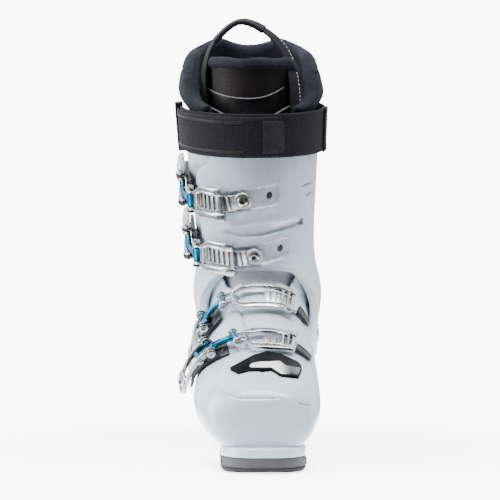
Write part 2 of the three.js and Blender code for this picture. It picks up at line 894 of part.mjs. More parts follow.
function lever(buckle) {
  const { plane, axis, lever: pivot, link } = pins(buckle);
  const tail = buckle.pivot - buckle.lever;
  const cheeks = [-1, 1].map((side) =>
    plane
      .strip({
        from: tail + 2,
        to: buckle.pivot,
        left: side * 9.1,
        right: side * 11.7,
        low: (arc) => 5.8 + 3.2 * Math.min(1, (buckle.pivot - arc) / buckle.lever) ** 2,
        high: 12,
        steps: 2,
      })
      .add(rod(along(pivot, axis, side * 10.4), axis, 3.6, 2.6)),
  );
  const cap = plane.strip({
    from: tail,
    to: buckle.pivot - 25.5,
    left: -11.7,
    right: 11.7,
    low: 9.8,
    high: 12.2,
    steps: 3,
  });
  const eye = plane.strip({
    from: tail + 4,
    to: tail + 11,
    left: -6.5,
    right: 6.5,
    low: 7,
    high: 14,
    steps: 1,
  });
  return cheeks
    .reduce((whole, cheek) => whole.add(cheek), cap)
    .subtract(eye)
    .subtract(rod(pivot, axis, 2.15, 34, 7))
    .subtract(rod(link, axis, 1.75, 34, 7));
}

function leverRivet(buckle, side) {
  const { axis, lever: pivot } = pins(buckle);
  return rod(along(pivot, axis, side * 12), axis, 1.7, 6.4, 8).add(
    rod(along(pivot, axis, side * 15.9), axis, 3.9, 1.6),
  );
}

function link(buckle) {
  const { plane, axis, link: back, bail: front } = pins(buckle);
  const wide = plane.strip({
    from: buckle.pivot - LINK_BACK,
    to: buckle.pivot + 4,
    left: -7.8,
    right: 7.8,
    low: LINK_HEIGHT - 1.5,
    high: LINK_HEIGHT + 1.3,
    steps: 2,
  });
  const stem = plane.strip({
    from: buckle.pivot + 3,
    to: buckle.hinge,
    left: -3.4,
    right: 3.4,
    low: (arc) => LINK_HEIGHT - 1.6 + 0.9 * ((arc - buckle.pivot) / (buckle.hinge - buckle.pivot)),
    high: (arc) => LINK_HEIGHT + 1.6 + 1.2 * ((arc - buckle.pivot) / (buckle.hinge - buckle.pivot)),
    steps: 2,
  });
  return wide
    .add(stem)
    .add(rod(back, axis, 2.7, 15.6))
    .add(rod(front, axis, 3.1, 12.6))
    .subtract(rod(back, axis, 1.75, 30, 7))
    .subtract(rod(front, axis, 1.75, 30, 7));
}

function linkPin(buckle) {
  const { axis, link: centre } = pins(buckle);
  return rod(centre, axis, 1.35, 24.2, 8)
    .add(rod(along(centre, axis, 12.5), axis, 2.5, 1, 10))
    .add(rod(along(centre, axis, -12.5), axis, 2.5, 1, 10));
}

function bail(buckle) {
  const { axis, bail: hinge } = pins(buckle);
  const belt = new PinPlane(buckle.belt, buckle.pivot, buckle.hinge + 2);
  const knuckles = [-1, 1].map((side) =>
    belt
      .strip({
        from: buckle.hinge + 0.6,
        to: buckle.hook + 4,
        left: side * 8.2,
        right: (arc) => side * THREE.MathUtils.clamp(9.9 + (arc - buckle.hinge - 7) * 0.6, 9.9, 14.2),
        low: (arc) => 5 - 1.4 * Math.min(1, (arc - buckle.hinge) / 14),
        high: (arc) => 9 - 1.9 * Math.min(1, (arc - buckle.hinge) / 14),
        steps: 5,
      })
      .add(rod(along(hinge, axis, side * 8.4), axis, 3.4, 3.2)),
  );
  const bars = [
    [buckle.hook, buckle.hook + 4],
    [buckle.hinge + 7, buckle.hinge + 10.5],
  ].map(([from, to]) =>
    belt.strip({ from, to, left: -13.6, right: 13.6, low: 5.1, high: 7.1, steps: 1 }),
  );
  return [...bars, knuckles[1]]
    .reduce((whole, piece) => whole.add(piece), knuckles[0])
    .subtract(rod(hinge, axis, 1.7, 30));
}

function bailPin(buckle) {
  const { axis, bail: centre } = pins(buckle);
  return rod(centre, axis, 1.35, 23.4, 8)
    .add(rod(along(centre, axis, 11.9), axis, 3.2, 1.2))
    .add(rod(along(centre, axis, -11.9), axis, 3.2, 1.2));
}

// The toothed rack: each tooth climbs slowly and drops at once. A screwed one ends in a flat eye.
const TOOTH = { pitch: 5, climb: 3.2, drop: 0.3, root: 3, crest: 4.5 };

function ladder(buckle) {
  const [from, to] = buckle.ladder;
  const teethEnd = to - (buckle.screw === undefined ? 0 : 14);
  const arcs = [];
  for (let start = from; start + TOOTH.pitch <= teethEnd; start += TOOTH.pitch)
    arcs.push(start, start + TOOTH.climb, start + TOOTH.climb + TOOTH.drop);
  const height = (arc) => {
    const into = (arc - from + 1e-6) % TOOTH.pitch;
    if (arc > teethEnd - 1 || into > TOOTH.climb + 0.1) return TOOTH.root;
    return THREE.MathUtils.lerp(TOOTH.root, TOOTH.crest, into / TOOTH.climb);
  };
  const plate = buckle.belt.strip({
    arcs: [...arcs, ...evenly(teethEnd, to, 3)],
    left: -6.4,
    right: 6.4,
    low: 1.8,
    high: height,
  });
  return buckle.screw === undefined
    ? plate
    : plate.subtract(screwHole(buckle, buckle.screw, 2.4));
}

function screwHole(buckle, arc, radius) {
  const { origin, normal } = buckle.belt.frame(arc);
  return rod(origin, normal, radius, 13, 8);
}

function ladderScrew(buckle) {
  const { normal } = buckle.belt.frame(buckle.screw);
  const origin = buckle.belt.place(buckle.screw, 0, 0);
  const socket = rod(along(origin, normal, 5.6), normal, 1.9, 2.4, 6);
  return rod(along(origin, normal, 1.2), normal, 1.9, 5.6, 8)
    .add(rod(along(origin, normal, 4.3), normal, 4.6, 1.8, 14))
    .subtract(socket);
}

function ladderStrap(buckle) {
  const [from, to] = buckle.strap;
  return buckle.belt.strip({
    from,
    to,
    left: -5.6,
    right: 5.6,
    low: 1.4,
    high: (arc) => 3.8 - 1.2 * ((arc - from) / (to - from)),
    steps: 4,
  });
}

function addBuckle(buckle) {
  const name = (piece) => `${buckle.name}_${piece}`;
  add(name("base"), buckleBase(buckle), "black");
  add(name("lever"), lever(buckle), "alloy");
  add(name("lever_rivet_high"), leverRivet(buckle, -1), "steel");
  add(name("lever_rivet_low"), leverRivet(buckle, 1), "steel");
  add(name("link"), link(buckle), "blue");
  add(name("link_pin"), linkPin(buckle), "steel");
  add(name("bail"), bail(buckle), "alloy");
  add(name("bail_pin"), bailPin(buckle), "steel");
  add(name("ladder"), ladder(buckle), "alloy");
  if (buckle.strap) add(name("ladder_strap"), ladderStrap(buckle), "black");
  else add(name("ladder_screw"), ladderScrew(buckle), "steel");
}

// ------------------------------------------------------------------ power strap
const STRAP = { low: 6.26, high: 7.47, thick: 2.2, ring: -106, flapEnd: 26 };

// A band on the cuff's upper skin between two arcs, `proud` of it. It runs flatter than the ribs,
// and stands off the cuff a little on the medial side.
function band(fromArc, toArc, low, high, steps, shrink = 0) {
  const middle = new Belt(cuffSkin, [[0, 6.87], [180, 6.87]]);
  const grid = (proud) =>
    Array.from({ length: steps + 1 }, (_, i) => {
      const angle = middle.angle(fromArc + ((toArc - fromArc) * i) / steps);
      const radians = THREE.MathUtils.degToRad(angle);
      const drop = 0.17 * (1 - Math.sin(radians));
      const loose = 2.4 * Math.max(0, -Math.cos(radians)) ** 4;
      return [STRAP.low + shrink, STRAP.high - shrink].map((index) =>
        cuffSkin.off(index - drop, angle, proud + loose),
      );
    });
  return thickSheet(grid(high), grid(low));
}

function strapRing() {
  const frame = band(STRAP.ring - 7, STRAP.ring, 0.9, 8.6, 1, -0.02);
  const window = band(STRAP.ring - 5, STRAP.ring - 2.5, 4, 12, 1, 0.12);
  return frame.subtract(window);
}

// ------------------------------------------------------------------ assembly
function pivotRivet(side) {
  const axis = new THREE.Vector3(1, 0, 0);
  const wall = side * 53.6;
  const at = (x) => new THREE.Vector3(x, PIVOT.y, PIVOT.z);
  return rod(at(wall - side * 5), axis, PIVOT.radius - 0.8, 14).add(
    rod(at(wall + side * 1.9), axis, 8.6, 1.8, 20),
  );
}

const SPINE_SCREWS = [3.2, 4.4]; // rib index of each on the cuff's rear
function spineScrew(index) {
  const skin = cuffSkin.point(index, 270);
  const normal = cuffSkin.normal(index, 270);
  const socket = rod(along(skin, normal, 2.9), normal, 2.2, 2.4, 6);
  return rod(along(skin, normal, 1.6), normal, 6, 2.4, 16)
    .add(rod(along(skin, normal, -1.6), normal, 2.6, 5, 8))
    .subtract(socket);
}

function cuffWithHoles() {
  const cuffBuckles = BUCKLES.filter((b) => b.host === "cuff");
  const screwHoles = cuffBuckles.map((b) => screwHole(b, b.screw, 2.4));
  const spareHoles = cuffBuckles.map((b) => screwHole(b, b.spare, 2.7));
  const spineHoles = SPINE_SCREWS.map((index) =>
    rod(cuffSkin.point(index, 270), cuffSkin.normal(index, 270), 3.1, 14, 8),
  );
  const rivets = rod(
    new THREE.Vector3(0, PIVOT.y, PIVOT.z),
    new THREE.Vector3(1, 0, 0),
    PIVOT.radius,
    160,
  );
  return [...screwHoles, ...spareHoles, ...spineHoles, rivets].reduce(
    (whole, hole) => whole.subtract(hole),
    cuffShell(),
  );
}

add("lower_shell", lowerShell(), "shell");
add("flex_gaiter", flexGaiter(), "gaiter");
add("toe_sole", toeSole(), "rubber");
add("heel_sole", heelSole(), "rubber");
add("boot_board", bootBoard(), "board");
add("badge_frame", badgePatch({ left: -26, right: 31, top: 0, bottom: 0 }, 0.9, 2.2), "black");
add("badge_plate", badgePatch(BADGE_INSERT, 2.6, 3.6), "alloy");
add("liner_foot", linerFoot(), "vinyl");
add("cuff", cuffWithHoles(), "shell");
add("rear_spoiler", rearSpoiler(), "black");
add("liner_cuff", linerCuff(), "fleece");
add("liner_tongue", tongue(), "vinyl");
add("tongue_loop", tongueLoop(), "webbing");
add("pivot_rivet_lateral", pivotRivet(-1), "steel");
add("pivot_rivet_medial", pivotRivet(1), "steel");
SPINE_SCREWS.forEach((index, k) =>
  add(`spine_screw_${["low", "high"][k]}`, spineScrew(index), "steel"),
);
BUCKLES.forEach(addBuckle);
add("power_strap", band(STRAP.ring + 0.6, 268, 0.9, 0.9 + STRAP.thick, 30), "webbing");
add("strap_ring", strapRing(), "black");
add("strap_flap", band(STRAP.ring + 1.4, STRAP.flapEnd, 4.2, 6.2, 12, 0.05), "webbing");

// ------------------------------------------------------------------ joints, in metres
const peel = new Belt(cuffSkin, [[0, 6.7], [180, 6.87]]).frame(STRAP.ring + 1.4);
const metres = (p) => p.clone().setY(p.y - HEEL_CENTRE).toArray().map((v) => +(v / 1000).toFixed(6));
const unit = (v) => v.toArray().map((x) => +x.toFixed(6));
root.userData.joints = [
  {
    name: "cuff_flex",
    pos_m: metres(new THREE.Vector3(0, PIVOT.y, PIVOT.z)),
    axis: [1, 0, 0],
    range_deg: [0, CUFF_FLEX],
  },
  {
    name: "strap_peel",
    pos_m: metres(along(peel.origin, peel.normal, 6.2)),
    axis: unit(peel.across),
    range_deg: [0, STRAP_PEEL],
  },
  ...BUCKLES.flatMap((buckle) => {
    const { axis, lever: a, link: b, bail: c } = pins(buckle);
    const opens = axis.clone().negate();
    return [
      { name: `${buckle.name}_lever`, pos_m: metres(a), axis: unit(opens), range_deg: [0, LEVER_OPEN] },
      { name: `${buckle.name}_link`, pos_m: metres(b), axis: unit(axis), range_deg: [0, LEVER_OPEN] },
      { name: `${buckle.name}_bail`, pos_m: metres(c), axis: unit(axis), range_deg: [0, BAIL_LIFT] },
    ];
  }),
];

export default root;
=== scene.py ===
"""The looks of an alpine ski boot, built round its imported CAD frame.

Shapes are worked out in the boot's own millimetres (toe -Y, lateral -X, Z up, Y from mid-sole) and
turned into the row frame's metres when a piece is made.
"""

import math

import bmesh
import bpy
import numpy as np
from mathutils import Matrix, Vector


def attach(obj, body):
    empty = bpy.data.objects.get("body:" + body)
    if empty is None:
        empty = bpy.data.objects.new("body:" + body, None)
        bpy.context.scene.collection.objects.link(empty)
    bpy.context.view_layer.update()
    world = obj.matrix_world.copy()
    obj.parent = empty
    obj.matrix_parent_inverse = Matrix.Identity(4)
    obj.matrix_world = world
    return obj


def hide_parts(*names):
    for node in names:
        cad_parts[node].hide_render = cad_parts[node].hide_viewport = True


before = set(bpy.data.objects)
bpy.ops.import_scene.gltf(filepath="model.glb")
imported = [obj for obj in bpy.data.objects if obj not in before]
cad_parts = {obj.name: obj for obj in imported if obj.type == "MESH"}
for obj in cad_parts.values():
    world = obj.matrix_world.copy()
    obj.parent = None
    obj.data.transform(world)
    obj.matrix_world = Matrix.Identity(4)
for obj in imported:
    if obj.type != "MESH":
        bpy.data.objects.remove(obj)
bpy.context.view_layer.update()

HEEL_CENTRE = 105.0
SOLE_LENGTH = 285.0
TOE_Y = -SOLE_LENGTH / 2
HEEL_Y = SOLE_LENGTH / 2
TOE_WIDTH = 69.0
HEEL_WIDTH = 67.0
PAD_TOP = 12.4
TOE_LEDGE = 20.6
HEEL_LEDGE = 30.0
SHELL_WALL = 4.5
CUFF_WALL = 4.0
CUFF_TOP = 7.0
PIVOT = (62.0, 105.0)


# ---------------------------------------------------------------- small maths
def smoothstep(low, high, value):
    t = np.clip((value - low) / (high - low), 0, 1)
    return t * t * (3 - 2 * t)


def unit(vectors):
    return vectors / np.linalg.norm(vectors, axis=-1, keepdims=True)


def dot(a, b):
    return (a * b).sum(-1, keepdims=True)


def through(marks, at):
    """A smooth value through (at, value) marks, straight outside them."""
    x, y = np.array(marks, float).T
    at = np.asarray(at, float)
    last = len(x) - 1

    def slope(i):
        a, b = np.clip(i - 1, 0, last), np.clip(i + 1, 0, last)
        return (y[b] - y[a]) / (x[b] - x[a])

    k = np.clip(np.searchsorted(x, at, side="right") - 1, 0, last - 1)
    span = x[k + 1] - x[k]
    t = (at - x[k]) / span
    ease = t * t * (3 - 2 * t)
    inside = y[k] * (1 - ease) + y[k + 1] * ease
    inside = inside + span * t * (1 - t) * (slope(k) * (1 - t) - slope(k + 1) * t)
    before = y[k] + slope(k) * (at - x[k])
    after = y[k + 1] + slope(k + 1) * (at - x[k + 1])
    return np.where(t < 0, before, np.where(t > 1, after, inside))


def edge_drop(distance, radius):
    """How far a face falls away near a rounded edge."""
    d = np.clip(radius - distance, 0, radius)
    return radius - np.sqrt(radius**2 - d**2 + 1e-9)


def line_distance(x, z, line):
    """Signed distance from points to a polyline (positive on its left) and the length along it."""
    best = np.full(np.shape(x), 1e9)
    signed = np.full(np.shape(x), 1e9)
    along = np.zeros(np.shape(x))
    walked = 0.0
    for (ax, az), (bx, bz) in zip(line, line[1:]):
        dx, dz = bx - ax, bz - az
        length = math.hypot(dx, dz)
        t = np.clip(((x - ax) * dx + (z - az) * dz) / length**2, 0, 1)
        away = np.hypot(x - ax - t * dx, z - az - t * dz)
        side = np.sign(dx * (z - az) - dz * (x - ax))
        closer = away < best
        best = np.where(closer, away, best)
        signed = np.where(closer, side * away, signed)
        along = np.where(closer, walked + t * length, along)
        walked += length
    return signed, along, walked


def box_distance(u, v, left, right, half, radius):
    """Signed distance to a rounded box from `left` to `right` and from -half to half, inside < 0."""
    du = np.abs(u - (left + right) / 2) - (right - left) / 2 + radius
    dv = np.abs(v) - half + radius
    outside = np.hypot(np.maximum(du, 0), np.maximum(dv, 0))
    return outside + np.minimum(np.maximum(du, dv), 0) - radius


# ---------------------------------------------------------------- lofted skins
class Skin:
    """A skin through ribs: top y and z, base y and z, lateral and medial half-width, shift, waist.
    Angle 0 is lateral, 90 the top or front, 180 medial, 270 the base or back."""

    def __init__(self, ribs, crown, belly):
        self.ribs = np.array(ribs, float)
        self.crown = crown
        self.belly = belly

    def rib(self, index):
        last = len(self.ribs) - 1
        k = np.clip(np.floor(index), 0, last - 1).astype(int)
        t = (index - k)[..., None]
        a, b, c, d = (self.ribs[np.clip(k + n, 0, last)] for n in (-1, 0, 1, 2))
        curve = 2 * b + (c - a) * t + (2 * a - 5 * b + 4 * c - d) * t**2
        curve = 0.5 * (curve + (3 * b - a - 3 * c + d) * t**3)
        return np.where((t < 0) | (t > 1), b + (c - b) * t, curve)

    def point(self, index, angle, inset=0.0):
        index, angle, inset = np.broadcast_arrays(
            np.asarray(index, float), np.asarray(angle, float), np.asarray(inset, float)
        )
        parts = np.moveaxis(self.rib(index), -1, 0)
        top_y, top_z, base_y, base_z, lateral, medial, shift, waist = parts
        length = np.hypot(top_y - base_y, top_z - base_z)
        up_y, up_z = (top_y - base_y) / length, (top_z - base_z) / length
        c, s = np.cos(np.radians(angle)), np.sin(np.radians(angle))
        power = 2 / np.where(s > 0, self.crown, self.belly)
        half = np.where(c > 0, lateral, medial) - inset
        reach = np.where(s > 0, 1 - waist, waist) * length - inset
        rise = waist * length + np.sign(s) * reach * np.abs(s) ** power
        x = shift - np.sign(c) * half * np.abs(c) ** power
        return np.stack([x, base_y + up_y * rise, base_z + up_z * rise], -1)

    def normal(self, index, angle):
        index, angle = np.asarray(index, float), np.asarray(angle, float)
        along = self.point(index + 0.05, angle) - self.point(index - 0.05, angle)
        around = self.point(index, angle + 1) - self.point(index, angle - 1)
        normal = unit(np.cross(along, around))
        middle = (self.point(index, 90) + self.point(index, 270)) / 2
        outward = self.point(index, angle) - middle
        return np.where(dot(normal, outward) < 0, -normal, normal)

    def off(self, index, angle, proud):
        return self.point(index, angle) + self.normal(index, angle) * np.asarray(proud)[..., None]

    def angle_at(self, index, x, inset=0.0):
        rib = self.rib(np.asarray(index, float))
        dx = x - rib[..., 6]
        half = np.where(dx < 0, rib[..., 4], rib[..., 5]) - inset
        share = np.minimum(1, np.abs(dx) / half)
        return np.degrees(np.arccos(-np.sign(dx) * share ** (self.crown / 2)))

    def facing(self, x, z, proud=0.0, inset=0.0):
        """The point that shows at (x, z) from the front, on the skin or `inset` inside it."""
        x, z, proud = np.broadcast_arrays(*(np.asarray(v, float) for v in (x, z, proud)))
        low, high = np.full(x.shape, 0.5), np.full(x.shape, len(self.ribs) - 1.0)
        for _ in range(24):
            middle = (low + high) / 2
            under = self.point(middle, self.angle_at(middle, x, inset), inset)[..., 2] < z
            low, high = np.where(under, middle, low), np.where(under, high, middle)
        angle = self.angle_at(low, x, inset)
        return self.point(low, angle, inset) + self.normal(low, angle) * proud[..., None]

    def index_where(self, angle, low, high, inside):
        """The rib index at which inside(points) turns true along each angle."""
        low, high = np.full(np.shape(angle), low), np.full(np.shape(angle), high)
        for _ in range(26):
            middle = (low + high) / 2
            found = inside(self.point(middle, angle))
            low, high = np.where(found, low, middle), np.where(found, middle, high)
        return high


class Belt:
    """A line round a skin through (angle, rib index) marks, walked by its length: 0 is the front,
    negative lateral, positive medial."""

    def __init__(self, skin, line, lift=0.0):
        self.skin, self.line, self.lift = skin, line, lift
        self.angles = np.arange(-110, 361, 2.0)
        steps = np.linalg.norm(np.diff(self.at(self.angles), axis=0), axis=1)
        lengths = np.concatenate([[0], np.cumsum(steps)])
        self.lengths = lengths - lengths[self.angles == 90][0]

    def at(self, angle):
        return self.skin.point(through(self.line, angle), angle)

    def frame(self, arc):
        angle = np.interp(arc, self.lengths, self.angles)
        normal = self.skin.normal(through(self.line, angle), angle)
        tangent = unit(self.at(angle + 1) - self.at(angle - 1))
        return self.at(angle), tangent, normal, unit(np.cross(tangent, normal))

    def place(self, arc, width, proud):
        arc, width, proud = np.broadcast_arrays(*(np.asarray(v, float) for v in (arc, width, proud)))
        origin, _, normal, across = self.frame(arc)
        return origin + normal * (proud + self.lift)[..., None] + across * width[..., None]

    def unroll(self, points, angle):
        """Where skin points lie along and across the belt."""
        angle = np.where(angle > 250, angle - 360, angle)
        arc = np.interp(angle, self.angles, self.lengths)
        origin, _, _, across = self.frame(arc)
        return arc, dot(points - origin, across)[..., 0]


class PinPlane(Belt):
    """A belt pressed flat into the plane square to one pin, easing back onto the skin."""

    def __init__(self, belt, pin_arc, release=1e9, ease=16.0):
        super().__init__(belt.skin, belt.line, belt.lift)
        self.pin = belt.frame(np.float64(pin_arc))
        self.release, self.ease = release, ease

    def frame(self, arc):
        origin, tangent, normal, across = self.pin
        skin = super().frame(arc)

        def flat(v):
            return dot(v, tangent) * tangent + dot(v, normal) * normal

        direction = unit(flat(skin[1]))
        side = np.broadcast_to(across, direction.shape)
        pressed = [origin + flat(skin[0] - origin), direction, unit(np.cross(side, direction)), side]
        t = smoothstep(self.release, self.release + self.ease, np.asarray(arc, float))[..., None]
        mixed = [a * (1 - t) + b * t for a, b in zip(pressed, skin)]
        return [mixed[0], *(unit(v) for v in mixed[1:])]


SHELL_RIBS = [
    [-135, 49, -135, 37, 8, 8, 1, 0.5],
    [-133.5, 60, -134, 25, 29, 29, 1, 0.52],
    [-127, 68, -131, 16, 41, 38.5, 1, 0.54],
    [-116, 75, -120, 14, 48.5, 44, 0, 0.56],
    [-99, 82.5, -102, 14, 54, 47, 0, 0.57],
    [-78, 90.5, -78, 14, 56.5, 48, 0, 0.57],
    [-56, 101, -48, 14, 56, 48.5, 0, 0.54],
    [-34, 119, -12, 16, 52, 48.5, 0, 0.5],
    [-14, 140, 28, 19, 49, 47.5, 0, 0.5],
    [1, 153, 72, 20, 47.5, 46.5, 0, 0.54],
    [7, 161, 117, 17, 46.5, 46, 0, 0.57],
    [8, 167, 137, 44, 46.5, 46, 0, 0.57],
    [6, 172, 136, 84, 46.5, 46.5, 0, 0.55],
    [3, 178, 130, 122, 47.5, 47.5, 0, 0.52],
    [-1, 184, 124, 152, 47, 47, 0, 0.5],
    [-6, 192, 117, 182, 46, 46, -1, 0.5],
]
CUFF_RIBS = [
    [-45, 51, 147, 98, 53.2, 53.2, 0, 0.36],
    [-45, 85, 145, 132, 53.6, 53.6, 0, 0.36],
    [-16, 124, 138, 162, 57.3, 57.3, 0, 0.45],
    [0, 160, 130, 192, 52.5, 52.5, -1, 0.5],
    [-9, 190, 122, 222, 53, 53, -2.5, 0.5],
    [-18, 220, 114, 253, 55.5, 55.5, -4, 0.5],
    [-28, 250, 106, 283, 57.5, 57.5, -5, 0.5],
    [-38, 280, 98, 314, 59, 59, -6, 0.5],
    [-48, 310, 90, 345, 60, 60, -7, 0.5],
    [-58, 340, 82, 376, 61, 61, -8, 0.5],
]
shell_skin = Skin(SHELL_RIBS, 2.3, 2.25)
cuff_skin = Skin(CUFF_RIBS, 2.15, 2.15)


# ---------------------------------------------------------------- building meshes
def quads(rows, columns, around=False):
    i, j = np.meshgrid(
        np.arange(rows - 1), np.arange(columns if around else columns - 1), indexing="ij"
    )
    k = (j + 1) % columns
    corners = [i * columns + j, i * columns + k, (i + 1) * columns + k, (i + 1) * columns + j]
    return np.stack(corners, -1).reshape(-1, 4)


class Form:
    """The points, in boot millimetres, and faces of one piece. `marks` holds two numbers a point,
    along and across the cloth, for woven materials."""

    def __init__(self):
        self.points, self.faces, self.marks = [], [], []
        self.count = 0

    def add(self, points, faces, marks=None):
        points = np.asarray(points, float).reshape(-1, 3)
        marks = np.zeros((len(points), 2)) if marks is None else np.asarray(marks).reshape(-1, 2)
        self.points.append(points)
        self.marks.append(marks)
        self.faces += [[int(v) + self.count for v in face] for face in faces]
        self.count += len(points)
        return self

    def sheet(self, outer, inner, around=False, marks=None):
        """The body between two grids of points."""
        rows, columns = outer.shape[:2]
        size = rows * columns
        skin = quads(rows, columns, around)
        faces = [skin, skin[:, ::-1] + size]
        j = np.arange(columns if around else columns - 1)
        k = (j + 1) % columns
        for row in (0, (rows - 1) * columns):
            rim = np.stack([row + j, row + k, size + row + k, size + row + j], -1)
            faces.append(rim if row else rim[:, ::-1])
        if not around:
            i = np.arange(rows - 1) * columns
            for column in (0, columns - 1):
                a, b = i + column, i + columns + column
                rim = np.stack([a, b, size + b, size + a], -1)
                faces.append(rim[:, ::-1] if column else rim)
        both = None if marks is None else np.concatenate([marks.reshape(-1, 2)] * 2)
        points = np.concatenate([outer.reshape(-1, 3), inner.reshape(-1, 3)])
        return self.add(points, np.concatenate(faces).tolist(), both)

    def loft(self, rings, around=False, marks=None):
        """The body through closed rings, capped unless the rings themselves go round."""
        rings = np.asarray(rings, float)
        rows, columns = rings.shape[:2]
        if around:
            faces = quads(rows, columns, True).tolist()
            last = (rows - 1) * columns
            for j in range(columns):
                k = (j + 1) % columns
                faces.append([last + j, last + k, k, j])
            return self.add(rings, faces, marks)
        faces = quads(rows, columns, True).tolist()
        faces.append(list(range(columns))[::-1])
        faces.append([(rows - 1) * columns + j for j in range(columns)])
        return self.add(rings, faces, marks)

    def turned(self, centre, axis, profile, sides=32):
        """A solid turned about an axis, through (distance along, radius) marks."""
        axis = unit(np.asarray(axis, float))
        helper = np.array([0, 0, 1.0]) if abs(axis[2]) < 0.8 else np.array([1.0, 0, 0])
        u = unit(np.cross(axis, helper))
        v = np.cross(axis, u)
        turn = np.linspace(0, 2 * math.pi, sides, endpoint=False)
        circle = np.cos(turn)[:, None] * u + np.sin(turn)[:, None] * v
        rings = [np.asarray(centre) + axis * t + circle * np.maximum(r, 1e-3) for t, r in profile]
        return self.loft(rings)

    def sweep(self, path, height_way, half_wide, half_high, radius, closed=False, corner=3):
        """A rounded bar along a path; half_wide and half_high may be one number or one a point."""
        path = np.asarray(path, float)
        if closed:
            tangent = unit(np.roll(path, -1, 0) - np.roll(path, 1, 0))
        else:
            tangent = unit(np.gradient(path, axis=0))
        up = np.broadcast_to(np.asarray(height_way, float), path.shape)
        up = unit(up - dot(up, tangent) * tangent)
        side = np.cross(tangent, up)
        w, h = rounded_box(half_wide, half_high, radius, len(path), corner)
        rings = path[:, None] + side[:, None] * w[..., None] + up[:, None] * h[..., None]
        if closed:
            return self.loft(rings, around=True)
        return self.loft(self.round_ends(rings, path, tangent, min(radius, 1.2)))

    @staticmethod
    def round_ends(rings, path, tangent, radius):
        """Adds shrinking rings past both ends, so that a bar ends in rounded edges."""
        ends = []
        for at, way in ((0, -1), (-1, 1)):
            rounds = []
            for share in (0.5, 0.87, 1.0):
                back = radius * (1 - math.sqrt(1 - share**2))
                ring = rings[at] - path[at]
                size = np.linalg.norm(ring, axis=-1, keepdims=True)
                pulled = ring * (1 - np.minimum(back / np.maximum(size, 1e-6), 0.6))
                rounds.append(path[at] + pulled + way * tangent[at] * radius * (share - 1))
            ends.append(np.array(rounds))
        inner = rings[1:-1]
        return np.concatenate([ends[0][::-1], inner, ends[1]])

    def make(self, name, body, finish, *nodes, slot=None, smooth=35.0):
        """Turns the form into a Blender object that rides on a body and stands for CAD nodes."""
        points = np.concatenate(self.points)
        points[:, 1] -= HEEL_CENTRE
        mesh = bpy.data.meshes.new(name)
        mesh.from_pydata((points * 0.001).tolist(), [], self.faces)
        weave = mesh.attributes.new("cloth", "FLOAT_VECTOR", "POINT")
        marks = np.concatenate(self.marks)
        flat = np.column_stack([marks, np.zeros(len(marks))])
        weave.data.foreach_set("vector", flat.astype(np.float32).ravel())
        shape = bmesh.new()
        shape.from_mesh(mesh)
        bmesh.ops.remove_doubles(shape, verts=shape.verts, dist=1e-7)
        bmesh.ops.recalc_face_normals(shape, faces=shape.faces)
        shape.to_mesh(mesh)
        shape.free()
        mesh.polygons.foreach_set("use_smooth", [True] * len(mesh.polygons))
        mesh.set_sharp_from_angle(angle=math.radians(smooth))
        piece = bpy.data.objects.new(name, mesh)
        bpy.context.scene.collection.objects.link(piece)
        mesh.materials.append(FINISHES[finish])
        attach(piece, body)
        if nodes:
            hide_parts(*nodes)
        return piece


def rounded_box(half_wide, half_high, radius, count, corner=3):
    """Offsets round a rounded rectangle for each of `count` stations."""
    wide = np.broadcast_to(np.asarray(half_wide, float), (count,))[:, None]
    high = np.broadcast_to(np.asarray(half_high, float), (count,))[:, None]
    r = np.minimum(np.minimum(wide, high) * 0.98, radius)
    w, h = [], []
    for k, (sw, sh) in enumerate(((1, 1), (-1, 1), (-1, -1), (1, -1))):
        for step in range(corner + 1):
            a = math.pi / 2 * (k + step / corner)
            w.append(sw * (wide - r) + r * math.cos(a))
            h.append(sh * (high - r) + r * math.sin(a))
    return np.concatenate(w, 1), np.concatenate(h, 1)


def bar(form, belt, arcs, left, right, low, high, radius=0.8, corner=3):
    """A rounded bar lying on a belt between edges and heights given as numbers or one an arc."""
    arcs = np.asarray(arcs, float)
    values = [np.broadcast_to(np.asarray(v, float), arcs.shape) for v in (left, right, low, high)]
    left, right, low, high = values
    w, h = rounded_box(np.abs(right - left) / 2, (high - low) / 2, radius, len(arcs), corner)
    middle_w, middle_h = (left + right)[:, None] / 2, (low + high)[:, None] / 2
    rings = belt.place(arcs[:, None], middle_w + w, middle_h + h)
    path = belt.place(arcs, middle_w[:, 0], middle_h[:, 0])
    tangent = unit(np.gradient(path, axis=0))
    return form.loft(Form.round_ends(rings, path, tangent, min(radius, 1.2)))


def spaced(start, end, step):
    return np.linspace(start, end, max(2, int(round(abs(end - start) / step)) + 1))


def smooth_path(points, count, closed=False):
    """A Catmull-Rom curve through points."""
    p = np.asarray(points, float)
    n = len(p)
    t = np.linspace(0, n if closed else n - 1, count, endpoint=not closed)
    k = np.minimum(t.astype(int), n - 1 if closed else n - 2)
    f = (t - k)[:, None]

    def at(i):
        return p[i % n] if closed else p[np.clip(i, 0, n - 1)]

    a, b, c, d = at(k - 1), at(k), at(k + 1), at(k + 2)
    curve = 2 * b + (c - a) * f + (2 * a - 5 * b + 4 * c - d) * f**2
    return 0.5 * (curve + (3 * b - a - 3 * c + d) * f**3)


